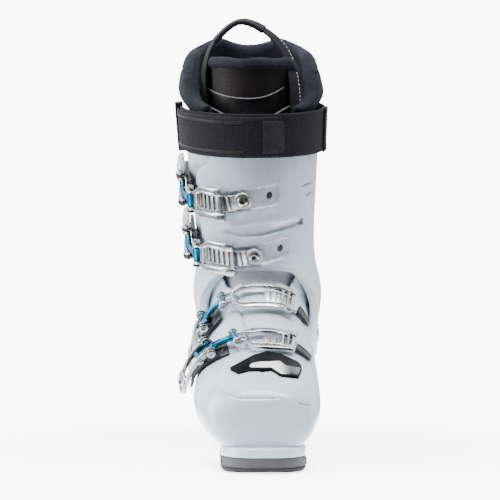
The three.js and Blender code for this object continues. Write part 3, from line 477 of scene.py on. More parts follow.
# ---------------------------------------------------------------- finishes
class Nodes:
    """A short way to write a node material."""

    def __init__(self, name):
        self.material = bpy.data.materials.new(name)
        self.material.use_nodes = True
        self.tree = self.material.node_tree
        self.surface = self.tree.nodes["Principled BSDF"]

    def node(self, kind, inputs=None, **settings):
        made = self.tree.nodes.new(kind)
        for key, value in settings.items():
            setattr(made, key, value)
        for key, value in (inputs or {}).items():
            self.put(made.inputs[key], value)
        return made

    def put(self, socket, value):
        if isinstance(value, bpy.types.NodeSocket):
            self.tree.links.new(value, socket)
        else:
            socket.default_value = value

    def set(self, **values):
        for key, value in values.items():
            self.put(self.surface.inputs[key.replace("_", " ")], value)

    def place(self, scale=(1, 1, 1)):
        """Object coordinates, stretched by `scale`."""
        at = self.node("ShaderNodeTexCoord").outputs["Object"]
        return self.node("ShaderNodeMapping", {"Vector": at, "Scale": scale}).outputs["Vector"]

    def cloth(self):
        """The millimetres along and across a woven band."""
        return self.node("ShaderNodeAttribute", attribute_name="cloth").outputs["Vector"]

    def noise(self, vector, scale, detail=2.0, roughness=0.5):
        inputs = {"Vector": vector, "Scale": scale, "Detail": detail, "Roughness": roughness}
        return self.node("ShaderNodeTexNoise", inputs).outputs["Fac"]

    def ramp(self, value, marks):
        made = self.node("ShaderNodeValToRGB", {"Fac": value})
        stops = made.color_ramp.elements
        while len(stops) < len(marks):
            stops.new(0.5)
        for stop, (at, color) in zip(stops, marks):
            stop.position = at
            stop.color = (*color, 1) if hasattr(color, "__len__") else (color, color, color, 1)
        return made.outputs["Color"]

    def math(self, kind, a, b=0.0):
        made = self.node("ShaderNodeMath", operation=kind)
        self.put(made.inputs[0], a)
        self.put(made.inputs[1], b)
        return made.outputs[0]

    def bump(self, height, strength, distance, under=None):
        inputs = {"Height": height, "Strength": strength, "Distance": distance}
        if under is not None:
            inputs["Normal"] = under
        return self.node("ShaderNodeBump", inputs).outputs["Normal"]

    def tint(self, value, low, high):
        """A colour that runs from `low` to `high` with a value."""
        return self.ramp(value, [(0.3, low), (0.7, high)])


def moulded(name, low, high, gloss, spread=0.06, grain=0.00004, grain_scale=2200.0, coat=0.0):
    """Moulded plastic: slow colour drift, uneven gloss and a fine grain."""
    n = Nodes(name)
    at = n.place()
    drift = n.noise(at, 9.0, 3.0)
    smear = n.noise(at, 60.0, 4.0)
    n.set(Base_Color=n.tint(drift, low, high))
    n.set(Roughness=n.ramp(smear, [(0.3, gloss - spread), (0.7, gloss + spread)]))
    n.set(Normal=n.bump(n.noise(at, grain_scale, 2.0), 0.35, grain))
    n.set(Coat_Weight=coat, Coat_Roughness=0.12)
    return n.material


def metal(name, low, high, gloss, stretch=(1, 1, 1), grain=0.00003):
    """Cast or drawn metal with faint marks, an uneven polish and painted shade darkening its hollows."""
    n = Nodes(name)
    at = n.place(stretch)
    marks = n.noise(at, 420.0, 4.0, 0.65)
    clean = n.tint(n.noise(n.place(), 130.0, 3.0), low, high)
    # painted shade: ambient occlusion darkens the base colour in hollows and creases
    hollow = n.node("ShaderNodeAmbientOcclusion", {"Distance": 0.0035}, samples=4).outputs["AO"]
    painted_hollow_shade = n.ramp(hollow, [(0.25, 0.22), (0.85, 1.0)])
    mixed = n.node("ShaderNodeMix", {"Factor": 1.0}, data_type="RGBA", blend_type="MULTIPLY")
    n.put(mixed.inputs[6], clean)
    n.put(mixed.inputs[7], painted_hollow_shade)
    n.set(Base_Color=mixed.outputs[2], Metallic=1.0)
    n.set(Roughness=n.ramp(marks, [(0.25, gloss - 0.07), (0.75, gloss + 0.12)]))
    n.set(Normal=n.bump(marks, 0.4, grain))
    return n.material


def rubber(name):
    n = Nodes(name)
    at = n.place()
    speckle = n.noise(at, 1500.0, 2.0)
    n.set(Base_Color=n.tint(n.noise(at, 26.0, 4.0), (0.042, 0.041, 0.045), (0.064, 0.0625, 0.068)))
    n.set(Roughness=n.ramp(speckle, [(0.3, 0.62), (0.7, 0.8)]))
    n.set(Normal=n.bump(speckle, 0.5, 0.00012))
    return n.material


def rocker_rubber(name):
    n = Nodes(name)
    speckle = n.noise(n.place(), 1300.0, 2.0)
    n.set(Base_Color=n.tint(n.noise(n.place(), 40.0, 4.0), (0.004, 0.004, 0.0045), (0.009, 0.009, 0.0095)))
    n.set(Roughness=0.78, Normal=n.bump(speckle, 0.5, 0.00012))
    return n.material


def woven(name, low, high, pitch=1.7, gloss=0.72):
    """Tight webbing: ribs along the band crossed by picks, from the cloth's own millimetres."""
    n = Nodes(name)
    along, across, _ = n.node("ShaderNodeSeparateXYZ", {"Vector": n.cloth()}).outputs
    turns = 2 * math.pi / pitch
    picks = n.math("SINE", n.math("MULTIPLY", along, turns))
    ribs = n.math("SINE", n.math("MULTIPLY", across, turns * 0.8))
    weave = n.math("MULTIPLY", picks, ribs)
    height = n.math("ADD", weave, n.math("MULTIPLY", picks, 0.7))
    fuzz = n.noise(n.place(), 900.0, 4.0)
    blend = n.math("ADD", n.math("MULTIPLY", height, 0.2), fuzz)
    n.set(Base_Color=n.ramp(blend, [(0.25, low), (0.8, high)]), Roughness=gloss)
    n.set(Normal=n.bump(height, 0.7, 0.00022, n.bump(fuzz, 0.4, 0.0001)))
    n.set(Sheen_Weight=0.02, Sheen_Roughness=0.5, Specular_IOR_Level=0.12)
    return n.material


def fleece(name, low, high):
    """Brushed pile: short clumps, a soft sheen and slow patches."""
    n = Nodes(name)
    at = n.place()
    patches = n.noise(at, 45.0, 4.0, 0.6)
    pile = n.noise(n.place((1, 1, 1.6)), 640.0, 4.0, 0.8)
    clumps = n.noise(at, 170.0, 3.0, 0.6)
    mixed = n.math("ADD", n.math("MULTIPLY", patches, 0.42), n.math("MULTIPLY", pile, 0.58))
    n.set(Base_Color=n.ramp(mixed, [(0.34, low), (0.64, high)]), Roughness=0.95)
    n.set(Normal=n.bump(clumps, 0.6, 0.0014, n.bump(pile, 1.0, 0.0009)))
    n.set(Sheen_Weight=0.035, Sheen_Roughness=0.4, Sheen_Tint=(0.6, 0.66, 0.85, 1))
    n.set(Specular_IOR_Level=0.15)
    return n.material


def vinyl(name, low, high, gloss=0.45):
    """Soft coated cloth with a pebbled grain."""
    n = Nodes(name)
    at = n.place()
    cells = n.node("ShaderNodeTexVoronoi", {"Vector": at, "Scale": 620.0}).outputs["Distance"]
    folds = n.noise(at, 38.0, 3.0)
    n.set(Base_Color=n.tint(folds, low, high))
    n.set(Roughness=n.ramp(cells, [(0.1, gloss + 0.14), (0.7, gloss - 0.04)]))
    n.set(Normal=n.bump(cells, 0.55, 0.00025, n.bump(folds, 0.35, 0.0012)))
    n.set(Specular_IOR_Level=0.3)
    return n.material


def gloss_black(name, gleam):
    """Black plastic whose sheen is broken by a fine grain."""
    n = Nodes(name)
    grain = n.noise(n.place(), 900.0, 3.0)
    n.set(Base_Color=n.tint(n.noise(n.place(), 30.0), (0.0025, 0.0024, 0.003), (0.006, 0.0058, 0.007)))
    n.set(Roughness=n.ramp(grain, [(0.3, 0.28), (0.7, 0.42)]), Normal=n.bump(grain, 0.2, 0.00005))
    n.set(Specular_IOR_Level=gleam)
    return n.material


def gaiter_finish(name):
    """Satin plastic with a painted highlight down the middle of the instep, falling off into painted shade
    towards its sides.
    """
    n = Nodes(name)
    x = n.node("ShaderNodeSeparateXYZ", {"Vector": n.place()}).outputs[0]
    side = n.math("ABSOLUTE", x)
    streaks = n.noise(n.place(), 26.0, 2.0)
    # painted highlight and shade: the colour is brightest at the middle and darkens with distance to each
    # side
    spread = n.math("ADD", n.math("MULTIPLY", side, 20.0), n.math("MULTIPLY", streaks, 0.08))
    n.set(Base_Color=n.ramp(spread, [(0.06, (0.95, 0.95, 0.97)), (0.3, (0.72, 0.72, 0.76)),
                                     (0.65, (0.42, 0.42, 0.46))]))
    n.set(Roughness=n.ramp(streaks, [(0.3, 0.2), (0.7, 0.34)]), Metallic=0.05)
    n.set(Normal=n.bump(n.noise(n.place(), 500.0), 0.15, 0.00005))
    n.set(Coat_Weight=0.3)
    return n.material


def chrome_insert(name):
    """A plated insert with a painted reflection: white at its lateral end, darkening towards its medial
    end.
    """
    n = Nodes(name)
    x = n.node("ShaderNodeSeparateXYZ", {"Vector": n.place()}).outputs[0]
    fade = n.math("ADD", n.math("MULTIPLY", x, 1 / 0.042), 0.26)
    lines = n.noise(n.place((6, 6, 90)), 40.0, 3.0)
    # painted reflection: the base colour runs from white to near black along x
    n.set(Base_Color=n.ramp(fade, [(0.0, 0.85), (0.58, 0.85), (0.7, 0.25), (0.8, 0.04), (0.97, 0.12)]))
    n.set(Metallic=n.ramp(fade, [(0.6, 0.05), (0.72, 0.5)]))
    n.set(Roughness=n.ramp(lines, [(0.3, 0.2), (0.7, 0.34)]), Normal=n.bump(lines, 0.2, 0.00004))
    return n.material


FINISHES = {
    "shell_plastic": moulded("shell", (0.515, 0.6, 0.67), (0.55, 0.635, 0.7), 0.28, coat=0.25),
    "gaiter_plastic": gaiter_finish("gaiter"),
    "black_plastic": moulded("black_plastic", (0.003, 0.003, 0.0037), (0.007, 0.0067, 0.008), 0.34,
                             grain=0.0001, grain_scale=1500.0),
    "board_plastic": moulded("boot_board", (0.04, 0.04, 0.043), (0.07, 0.07, 0.075), 0.7),
    "sole_rubber": rubber("sole_rubber"),
    "rocker_rubber": rocker_rubber("rocker_rubber"),
    "alloy": metal("cast_alloy", (0.42, 0.43, 0.45), (0.68, 0.69, 0.7), 0.17),
    "ladder_alloy": metal("ladder_alloy", (0.6, 0.61, 0.62), (0.82, 0.83, 0.835), 0.3),
    "steel": metal("zinc_steel", (0.42, 0.43, 0.44), (0.66, 0.67, 0.675), 0.22),
    "blue_alloy": metal("blue_alloy", (0.002, 0.1, 0.21), (0.006, 0.23, 0.4), 0.2),
    "badge_chrome": chrome_insert("badge_insert"),
    "badge_black": gloss_black("badge_surround", 0.03),
    "webbing": woven("webbing", (0.0022, 0.0021, 0.0031), (0.018, 0.0175, 0.024)),
    "woven_panel": woven("woven_panel", (0.009, 0.009, 0.012), (0.035, 0.035, 0.044), 0.9, 0.62),
    "liner_fleece": fleece("fleece", (0.0045, 0.005, 0.0085), (0.026, 0.0275, 0.038)),
    "inner_fleece": fleece("inner_fleece", (0.010, 0.012, 0.022), (0.03, 0.036, 0.06)),
    "liner_vinyl": vinyl("vinyl", (0.003, 0.0028, 0.0036), (0.007, 0.0065, 0.008)),
    "tongue_panel": vinyl("tongue_panel", (0.0035, 0.0018, 0.0026), (0.009, 0.005, 0.0064), 0.65),
    "piping": moulded("piping", (0.07, 0.072, 0.08), (0.13, 0.132, 0.145), 0.5),
    "thread": moulded("thread", (0.45, 0.45, 0.47), (0.62, 0.62, 0.64), 0.7),
    # the next two finishes are painted shade for the dark floors of holes, sockets and grooves
    "recess": moulded("recess", (0.010, 0.010, 0.011), (0.02, 0.02, 0.022), 0.6),
    "recess_grey": moulded("recess_grey", (0.16, 0.17, 0.18), (0.22, 0.23, 0.24), 0.5),
}


# ---------------------------------------------------------------- soles
def sole_outline(width, tip, back, radius, inset=0.0, steps=40):
    """The outline of a sole block, from one side round its end to the other, then straight back."""
    towards = math.copysign(1, back - tip)
    a = np.linspace(0, math.pi, steps + 1)
    across = np.sign(np.cos(a)) * np.abs(np.cos(a)) ** 0.65
    x = -(width / 2 - inset) * across
    y = tip + towards * (inset + (radius - inset) * (1 - np.sin(a)))
    sides = np.linspace(y[-1], back - towards * inset, 31)[1:]
    right = np.column_stack([np.full(len(sides), width / 2 - inset), sides])
    left = np.column_stack([np.full(len(sides), inset - width / 2), sides])
    return np.vstack([left[::-1], np.column_stack([x, y]), right])


def block(form, width, tip, back, radius, low, high, levels):
    """A sole block from `low` to `high`, where `levels` are (height share, inset).

    `low` may be a function of y.
    """
    rings = []
    for share, inset in levels:
        outline = sole_outline(width, tip, back, radius, inset)
        floor = low(outline[:, 1]) if callable(low) else np.full(len(outline), low)
        z = floor + share * (high - floor)
        rings.append(np.column_stack([outline, z]))
    rows, columns = len(rings), len(rings[0])
    faces = quads(rows, columns, True).tolist()
    for row, flip in ((0, False), (rows - 1, True)):
        for j in range(columns // 2 - 1):
            a, b = row * columns + j, row * columns + columns - 1 - j
            face = [a, a + 1, b - 1, b]
            faces.append(face[::-1] if flip else face)
    return form.add(np.array(rings), faces)


def rocker_floor(y):
    return np.interp(y, [TOE_Y, TOE_Y + 8, TOE_Y + 26], [1.8, 0.8, 0.0])


EDGE_LEVELS = [(0.0, 4.2), (0.06, 3.0), (0.17, 1.9), (0.33, 1.0), (0.55, 0.35), (0.8, 0.0),
               (0.97, 0.2), (1.0, 0.9)]


def grooved_levels(count):
    """Levels of a pad whose side carries fine moulded lines."""
    levels = [(0.0, 1.2), (0.05, 0.35), (0.11, 0.0)]
    for k in range(count):
        middle = 0.13 + 0.66 * k / max(1, count - 1)
        levels += [(middle - 0.028, 0.0), (middle, 0.32), (middle + 0.028, 0.0)]
    return levels + [(0.94, 0.0), (0.98, 0.3), (1.0, 0.9)]


def make_soles():
    split = 4.2
    for name, node, width, tip, back, radius, floor in (
        ("toe_pad", "toe_sole", TOE_WIDTH, TOE_Y, -30.0, 34.0, rocker_floor),
        ("heel_pad", "heel_sole", HEEL_WIDTH, HEEL_Y, 68.0, 20.0, 0.0),
    ):
        upper = Form()
        block(upper, width, tip, back, radius, split + 0.05, PAD_TOP, grooved_levels(1))
        inner = sorted((tip + math.copysign(22, back - tip), back - math.copysign(6, back - tip)))
        for x in (-width / 2 + 0.15, width / 2 - 0.15):
            for y in np.arange(inner[0], inner[1], 3.4):
                rib = [[x, y, split + 0.9], [x, y, PAD_TOP - 0.9]]
                upper.sweep(rib, (1, 0, 0), 0.35, 0.35, 0.3)
        upper.make(name, "shell", "sole_rubber", node)
        lower = Form()
        block(lower, width, tip, back, radius, floor, split, EDGE_LEVELS)
        lugs(lower, inner, width)
        lower.make(name + "_tread", "shell", "rocker_rubber", slot="sole_rubber")


def lugs(form, inner, width):
    """Bars between the tread's grooves, flush with the ground."""
    for y in np.arange(inner[0] + 4, inner[1] - 4, 9.0):
        for side in (-1, 1):
            path = [[side * 3, y + 2.4, 0.55], [side * (width / 2 - 7), y, 0.55]]
            form.sweep(path, (0, 0, 1), 2.6, 0.55, 0.4)


# ---------------------------------------------------------------- lower shell
THROAT = [(-60, 142), (-8, 144.5), (5, 146.5), (14, 149), (25, 158), (48, 154), (75, 138), (160, 138)]
OVERLAP = [(-37, 162), (-30.4, 154), (-21, 144.5), (-17, 125), (-11, 107), (-8.5, 97), (-8, 92)]
TOE_CREASE = [(-50, 54), (-46.5, 60), (-38, 67.2), (-30, 64), (-20.5, 59.8), (-6, 59), (14, 59.6)]
SIDE_CREASE = [(24, 56.6), (34, 54), (43, 52)]


INSTEP_EDGE = [(38, 121.5), (30, 128), (21, 131), (9, 132.6), (-3.6, 132.2), (-17, 129.6), (-29, 125.5)]
CHIN_CREASE = [(-3.5, 83), (-0.5, 77.5), (5, 76), (11, 76.6)]


def step(points, line, depth, fade, taper=(7, 10)):
    """A moulded step: the face falls by `depth` above a line and rises back over `fade`."""
    above, along, length = line_distance(points[..., 0], points[..., 2], line)
    ends = smoothstep(0, taper[0], along) * smoothstep(length, length - taper[1], along)
    fall = smoothstep(-0.25, 0.55, above) * np.exp(-np.maximum(above, 0) / fade)
    groove = 0.65 * np.exp(-(((above - 0.5) / 0.9) ** 2))
    return -depth * (fall + groove) * ends


def shell_relief(points):
    """What the outer face gains or loses by its moulded creases and overlapping flaps."""
    x, y, z = points[..., 0], points[..., 1], points[..., 2]
    front = smoothstep(75, 25, y)
    relief = step(points, TOE_CREASE, 2.3, 8.0, (5, 14)) + step(points, SIDE_CREASE, 1.8, 7.0)
    relief += step(points, INSTEP_EDGE[::-1], 1.9, 9.0, (8, 8))
    relief += step(points, CHIN_CREASE, 1.2, 4.0, (5, 8))
    side, along, _ = line_distance(x, z, OVERLAP[::-1])
    ends = smoothstep(0, 5, along)
    medial = smoothstep(0.4, -0.5, side) * np.exp(-np.maximum(-side, 0) / 16)
    slit = np.exp(-((side + 0.3) / 0.55) ** 2)
    relief -= (1.8 * medial + 1.4 * slit) * ends * (np.abs(side) < 60)
    return relief * front


def make_lower_shell():
    angles = np.concatenate([np.arange(0, 180, 1.2), np.arange(180, 360, 3.0)])

    def below_throat(points):
        return points[..., 2] < through(THROAT, points[..., 1])

    top = shell_skin.index_where(angles, 7.0, 15.0, lambda p: ~below_throat(p))
    share = np.concatenate([np.linspace(0, 0.985, 310), 1 - 0.015 * (1 - np.linspace(0, 1, 6)[1:])])
    index = 0.02 + share[:, None] * (top - 0.02)
    bare = shell_skin.point(index, angles)
    reach = np.linalg.norm(bare - bare[-1], axis=-1)
    drop = edge_drop(reach, 1.6)
    outer = bare + shell_skin.normal(index, angles) * (shell_relief(bare) - drop)[..., None]
    keep = np.concatenate([np.arange(12, len(share) - 6, 6), np.arange(len(share) - 6, len(share))])
    inner_index = index[keep]
    inner = shell_skin.point(inner_index, angles, SHELL_WALL - drop[keep])
    form = Form()
    rows, columns = outer.shape[:2]
    rows_in = len(inner)
    faces = quads(rows, columns, True).tolist()
    inner_faces = quads(rows_in, columns, True)[:, ::-1] + rows * columns
    faces += inner_faces.tolist()
    last, last_in = (rows - 1) * columns, rows * columns + (rows_in - 1) * columns
    for j in range(columns):
        k = (j + 1) % columns
        faces.append([last + j, last + k, last_in + k, last_in + j])
    faces.append(list(range(columns)))
    faces.append([rows * columns + j for j in range(columns)][::-1])
    form.add(np.concatenate([outer.reshape(-1, 3), inner.reshape(-1, 3)]), faces)
    base = PAD_TOP + 0.35
    lip = [(0.0, 0.7), (0.05, 0.0), (0.8, 0.0), (0.92, 0.5), (1.0, 1.6)]
    block(form, TOE_WIDTH, TOE_Y, -30.0, 34.0, base, TOE_LEDGE, lip)
    block(form, HEEL_WIDTH, HEEL_Y, 68.0, 20.0, base, HEEL_LEDGE, lip)
    form.make("shell_moulding", "shell", "shell_plastic", "lower_shell", smooth=50)


def make_gaiter():
    index = np.linspace(8.45, 12.4, 60)[:, None]
    angle = np.linspace(24, 156, 110)[None]
    ends = np.minimum(angle - 24, 156 - angle)
    drop = edge_drop(ends * 1.0, 1.6) + edge_drop((index - 8.45) * 25, 1.6)
    outer = shell_skin.point(index, angle, SHELL_WALL + 0.9 + drop * 0.5)
    inner = shell_skin.point(index, angle, SHELL_WALL + 3.4)
    Form().sheet(outer, inner).make("gaiter", "shell", "gaiter_plastic", "flex_gaiter")


# ---------------------------------------------------------------- badge
BADGE_TOP = [(-26.5, 81.5), (-17.5, 85.8), (-7, 91), (4.5, 93.7), (15.5, 91.8), (29, 85.4), (31.8, 82)]
BADGE_BOTTOM = [(-26.5, 80.4), (-20.5, 77.8), (-11.5, 79.9), (6.5, 80.4), (13.5, 76), (28.5, 74.1),
                (31.8, 79.4)]
INSERT_TOP = [(-10.5, 82.6), (-8.5, 83.8), (-2.4, 84.8), (13.8, 85.3), (18, 82.2), (29.2, 80.2),
              (29.9, 79.4)]
INSERT_BOTTOM = [(-10.5, 81.6), (-9.5, 81), (0, 81), (7, 81), (14.2, 76.5), (27.6, 74.9), (29.9, 79)]


def badge_patch(name, finish, node, top, bottom, low, high, crown):
    x = spaced(top[0][0], top[-1][0], 0.6)[:, None]
    share = np.linspace(0, 1, 25)[None]
    corners = np.interp(x, *np.array(bottom).T), np.interp(x, *np.array(top).T)
    z = corners[0] + (corners[1] - corners[0]) * share
    ends = np.minimum(x - x[0], x[-1] - x)
    edge = np.minimum(ends, np.minimum(share, 1 - share) * (corners[1] - corners[0]))
    proud = high - 0.9 * edge_drop(edge, 0.9) + crown * smoothstep(0, 5, edge)
    outer = shell_skin.facing(x, z, proud)
    inner = shell_skin.facing(x, z, np.full_like(proud, low))
    slot = "black_plastic" if finish == "badge_black" else finish
    Form().sheet(outer, inner).make(name, "shell", finish, node, slot=slot)


def make_badge():
    badge_patch("badge_surround", "badge_black", "badge_frame", BADGE_TOP, BADGE_BOTTOM, 0.3, 2.3, 0.25)
    badge_patch("badge_insert", "badge_chrome", "badge_plate", INSERT_TOP, INSERT_BOTTOM, 2.0, 3.3, 0.1)


# ---------------------------------------------------------------- cuff
CUFF_EDGE = [(-90, 161.5), (5, 161), (19, 151), (28, 132), (37, 110), (46, 93), (62, 84), (80, 87),
             (94, 96), (112, 99), (170, 104)]
FLAP_START = [(0, 24), (4.8, 24), (5.55, 27), (6.1, 49), (7.2, 60)]
FLAP_END = 468.0
SCOOP_TOP = [(-34.5, 197), (-20, 197.8), (-2, 199.8), (18, 203.3), (38, 208)]
SCOOP_LOW = [(-34.5, 197), (-27, 192.6), (-14, 190), (2, 190.8), (20, 195.6), (38, 201.6)]
NICKS = [((38, 234), (46.5, 238)), ((41.5, 226.5), (47, 229.5))]


def cuff_relief(points, angle):
    """The cuff's moulded pockets, the scoop between its buckles, and its nicks."""
    x, y, z = points[..., 0], points[..., 1], points[..., 2]
    front = (y < 45).astype(float)
    relief = np.zeros(x.shape)
    for buckle in BUCKLES[:2]:
        arc, width = buckle.belt.unroll(points, angle)
        pocket = box_distance(arc, width, -72, buckle.spare + 8.5, 8.6, 4.0)
        relief -= 2.1 * smoothstep(0.35, -0.4, pocket)
        brow = (width > 6) * smoothstep(7.5, 0.5, np.abs(pocket - 1.2)) * smoothstep(-34, -8, arc)
        relief += 1.2 * brow * smoothstep(buckle.spare + 12, buckle.spare + 4, arc)
        hole = np.hypot(arc - buckle.spare, width)
        relief -= 3.2 * smoothstep(2.75, 2.2, hole)
    over, _, _ = line_distance(x, z, SCOOP_TOP[::-1])
    under, _, _ = line_distance(x, z, SCOOP_LOW)
    rise = smoothstep(0, 1, np.clip(over / np.maximum(over + under, 0.1), 0, 1))
    inside = smoothstep(-0.4, 1.0, over) * smoothstep(-1.4, 0.6, under)
    ends = smoothstep(-36, -26, x) * (x < 38.5)
    brow = np.exp(-(((over + 0.8) / 1.1) ** 2))
    relief += (1.4 * brow - 3.4 * rise * inside) * ends * front
    slot = box_distance(x, z - 204.6, 36.8, 38.6, 3.2, 0.5)
    relief -= 2.6 * smoothstep(0.3, -0.3, slot) * front
    for start, end in NICKS:
        away, _, _ = line_distance(x, z, [start, end])
        relief -= 2.2 * np.exp(-((away / 0.65) ** 2)) * front
    return relief


def over_cuff_edge(points):
    return points[..., 2] > through(CUFF_EDGE, points[..., 1])


def flap_tuck(index, angle):
    """How deep the lateral flap's free end lies under the medial one."""
    start = through(FLAP_START, index) + 360
    return (CUFF_WALL + 1.5) * smoothstep(start - 20, start - 1, angle)


def make_cuff():
    columns = np.concatenate([
        np.linspace(0, 0.02, 4)[:3],
        np.linspace(0.02, 0.2, 90)[:-1],
        np.linspace(0.2, 0.76, 110)[:-1],
        np.linspace(0.76, 0.985, 108)[:-1],
        np.linspace(0.985, 1, 5),
    ])
    height = np.concatenate([[0, 0.0012, 0.004, 0.008], np.linspace(0.014, 0.985, 105),
                             [0.992, 0.996, 0.9988, 1.0]])
    low_start = FLAP_START[0][1]

    low_angle = low_start + (FLAP_END - low_start) * columns
    bottom = cuff_skin.index_where(low_angle, 0.0, 7.0, over_cuff_edge)
    index = bottom + height[:, None] * (CUFF_TOP - bottom)
    start = through(FLAP_START, index)
    angle = start + (FLAP_END - start) * columns
    bare = cuff_skin.point(index, angle)
    tuck = flap_tuck(index, angle)
    rim_low = np.linalg.norm(bare - bare[0], axis=-1)
    rim_high = np.linalg.norm(bare - bare[-1], axis=-1)
    first_half = columns < 0.5
    own_end = np.where(first_half[None, :, None], bare[:, :1], bare[:, -1:])
    rim_free = np.linalg.norm(bare - own_end, axis=-1)
    drop = edge_drop(np.minimum(np.minimum(rim_low, rim_high), rim_free), 1.5)
    bead = 0.7 * np.exp(-(((rim_low - 3.2) / 2.0) ** 2))
    proud = cuff_relief(bare, angle) * (tuck < 0.2) + bead - drop - tuck
    outer = bare + cuff_skin.normal(index, angle) * proud[..., None]
    inner = cuff_skin.point(index, angle, CUFF_WALL + tuck - drop)
    Form().sheet(outer, inner).make("cuff_moulding", "cuff", "shell_plastic", "cuff", smooth=50)
    make_cuff_lips()
    make_hole_bottoms()


def make_cuff_lips():
    """The turned-in bead down both sides of the cuff's arch."""
    form = Form()

    for first, last in ((8, 58), (172, 122)):
        angle = np.linspace(first, last, 70)
        index = cuff_skin.index_where(angle, 0.0, 7.0, over_cuff_edge)
        rim = cuff_skin.point(index, angle)
        depth = 3.4 + 1.6 * smoothstep(48, 22, rim[:, 1])
        size = 2.7 * smoothstep(0, 14, np.abs(angle - last)) * smoothstep(0, 8, np.abs(angle - first)) + 0.4
        path = cuff_skin.point(index + 0.04, angle, depth)
        form.sweep(path, cuff_skin.normal(index, angle), size * 0.8, size, 2.6, corner=5)
    form.make("cuff_lips", "cuff", "shell_plastic", smooth=60)


def make_hole_bottoms():
    """Dark pieces of painted shade on the floors of the spare screw holes, the nicks and the slot at the
    scoop's end.
    """
    cuts = Form()
    # painted shade: grey sweeps sunk inside the nicks and the slot
    for start, end in (*NICKS, ((37.7, 201.9), (38.0, 207.0))):
        x, z = np.linspace(start, end, 14).T
        cuts.sweep(cuff_skin.facing(x, z, -1.0), (0, -1, 0), 0.5, 0.5, 0.45)
    cuts.make("cuff_nicks", "cuff", "recess_grey", slot="shell_plastic")
    for buckle in BUCKLES[:2]:
        # painted shade: a dark turned piece deep in each spare screw hole
        origin, _, normal, _ = buckle.belt.frame(np.float64(buckle.spare))
        profile = [(0, 2.0), (0.35, 2.9), (1.15, 2.9), (1.3, 2.4)]
        form = Form().turned(origin - normal * 3.4, normal, profile)
        form.make(f"{buckle.name}_spare_hole", "cuff", "recess", slot="shell_plastic")


RIB_HEIGHT = 31  # about the height from one rib of the cuff's skin to the next


def make_spoiler():
    (low, high), (first, last) = (5.0, 6.6), (235, 305)
    index = np.linspace(low, high, 40)[:, None]
    angle = np.linspace(first, last, 60)[None]
    level = np.minimum(index - low, high - index) * RIB_HEIGHT
    edge = np.minimum(level, np.minimum(angle - first, last - angle))
    drop = edge_drop(edge, 1.8)
    outer = cuff_skin.point(index, angle, CUFF_WALL + 0.7 + 0.6 * drop)
    inner = cuff_skin.point(index, angle, CUFF_WALL + 4.7 - 0.6 * drop)
    Form().sheet(outer, inner).make("spoiler", "cuff", "black_plastic", "rear_spoiler")


# ---------------------------------------------------------------- liner
FOOT_TOP = [(-160, 171), (6, 171), (50, 154), (80, 138), (160, 138)]
LINER_BOTTOM = [(-60, 219), (-30, 200), (2, 185), (30, 177), (52, 165), (82, 146), (160, 146)]
LINER_TOP = [(-44, 296), (-26, 303), (-14, 314), (-6, 332), (4, 346), (25, 355), (60, 364), (90, 369)]
LINER_BACK = [(1, 10), (7, 10), (7.25, 4), (7.7, -3.6), (8.6, -3.2), (9.1, -1), (9.6, 3)]
LINER_SIDE = [(1, 10), (7, 10), (7.25, 4), (7.65, -3.4), (8, -2.4), (8.3, 0.6), (8.67, 6), (9, 11),
              (9.4, 16)]
LINER_DEPTH = [(1, 7.5), (6.2, 7.5), (7, 4), (7.4, 10), (7.8, 14), (8.6, 13.5), (9.6, 12)]
TONGUE_INSET = 19.7
TONGUE_TOP = 331.0


def pillow(distance, radius):
    """The share of its full thickness that a pad keeps near an edge."""
    d = np.clip(distance / radius, 0, 1)
    return np.sqrt(1 - (1 - d) ** 2 + 1e-6)


def make_liner_foot():
    angles = np.arange(0, 360, 4.0)
    top = shell_skin.index_where(
        angles, 6.0, 15.0, lambda p: p[..., 2] > through(FOOT_TOP, p[..., 1]) - 1.0
    )
    share = np.linspace(0, 1, 90)[:, None]
    foot = 1.85
    index = foot + share * (top - foot)
    reach = (1 - share) * 150
    drop = 3.5 * (1 - pillow(reach, 4.0))

    def floored(points, floor):
        points[..., 2] = np.maximum(points[..., 2], floor)
        return points

    outer = floored(shell_skin.point(index, angles, 9.3 + drop), 28.4)
    inner = floored(shell_skin.point(np.maximum(index, 2.3), angles, 16.3 - drop), 33.5)
    form = Form().sheet(outer, inner, around=True)
    piece = form.make("liner_sock", "shell", "liner_vinyl", "liner_foot")


def collar_top(points):
    """The collar's top line: higher at its two rear shoulders, dipping between them."""
    x, y = points[..., 0] + 7, points[..., 1]
    rear = smoothstep(20, 70, y)
    hump = 5.0 * np.exp(-(((np.abs(x) - 33) / 14) ** 2)) - 2.4 * np.exp(-((x / 15) ** 2))
    return through(LINER_TOP, y) + rear * hump


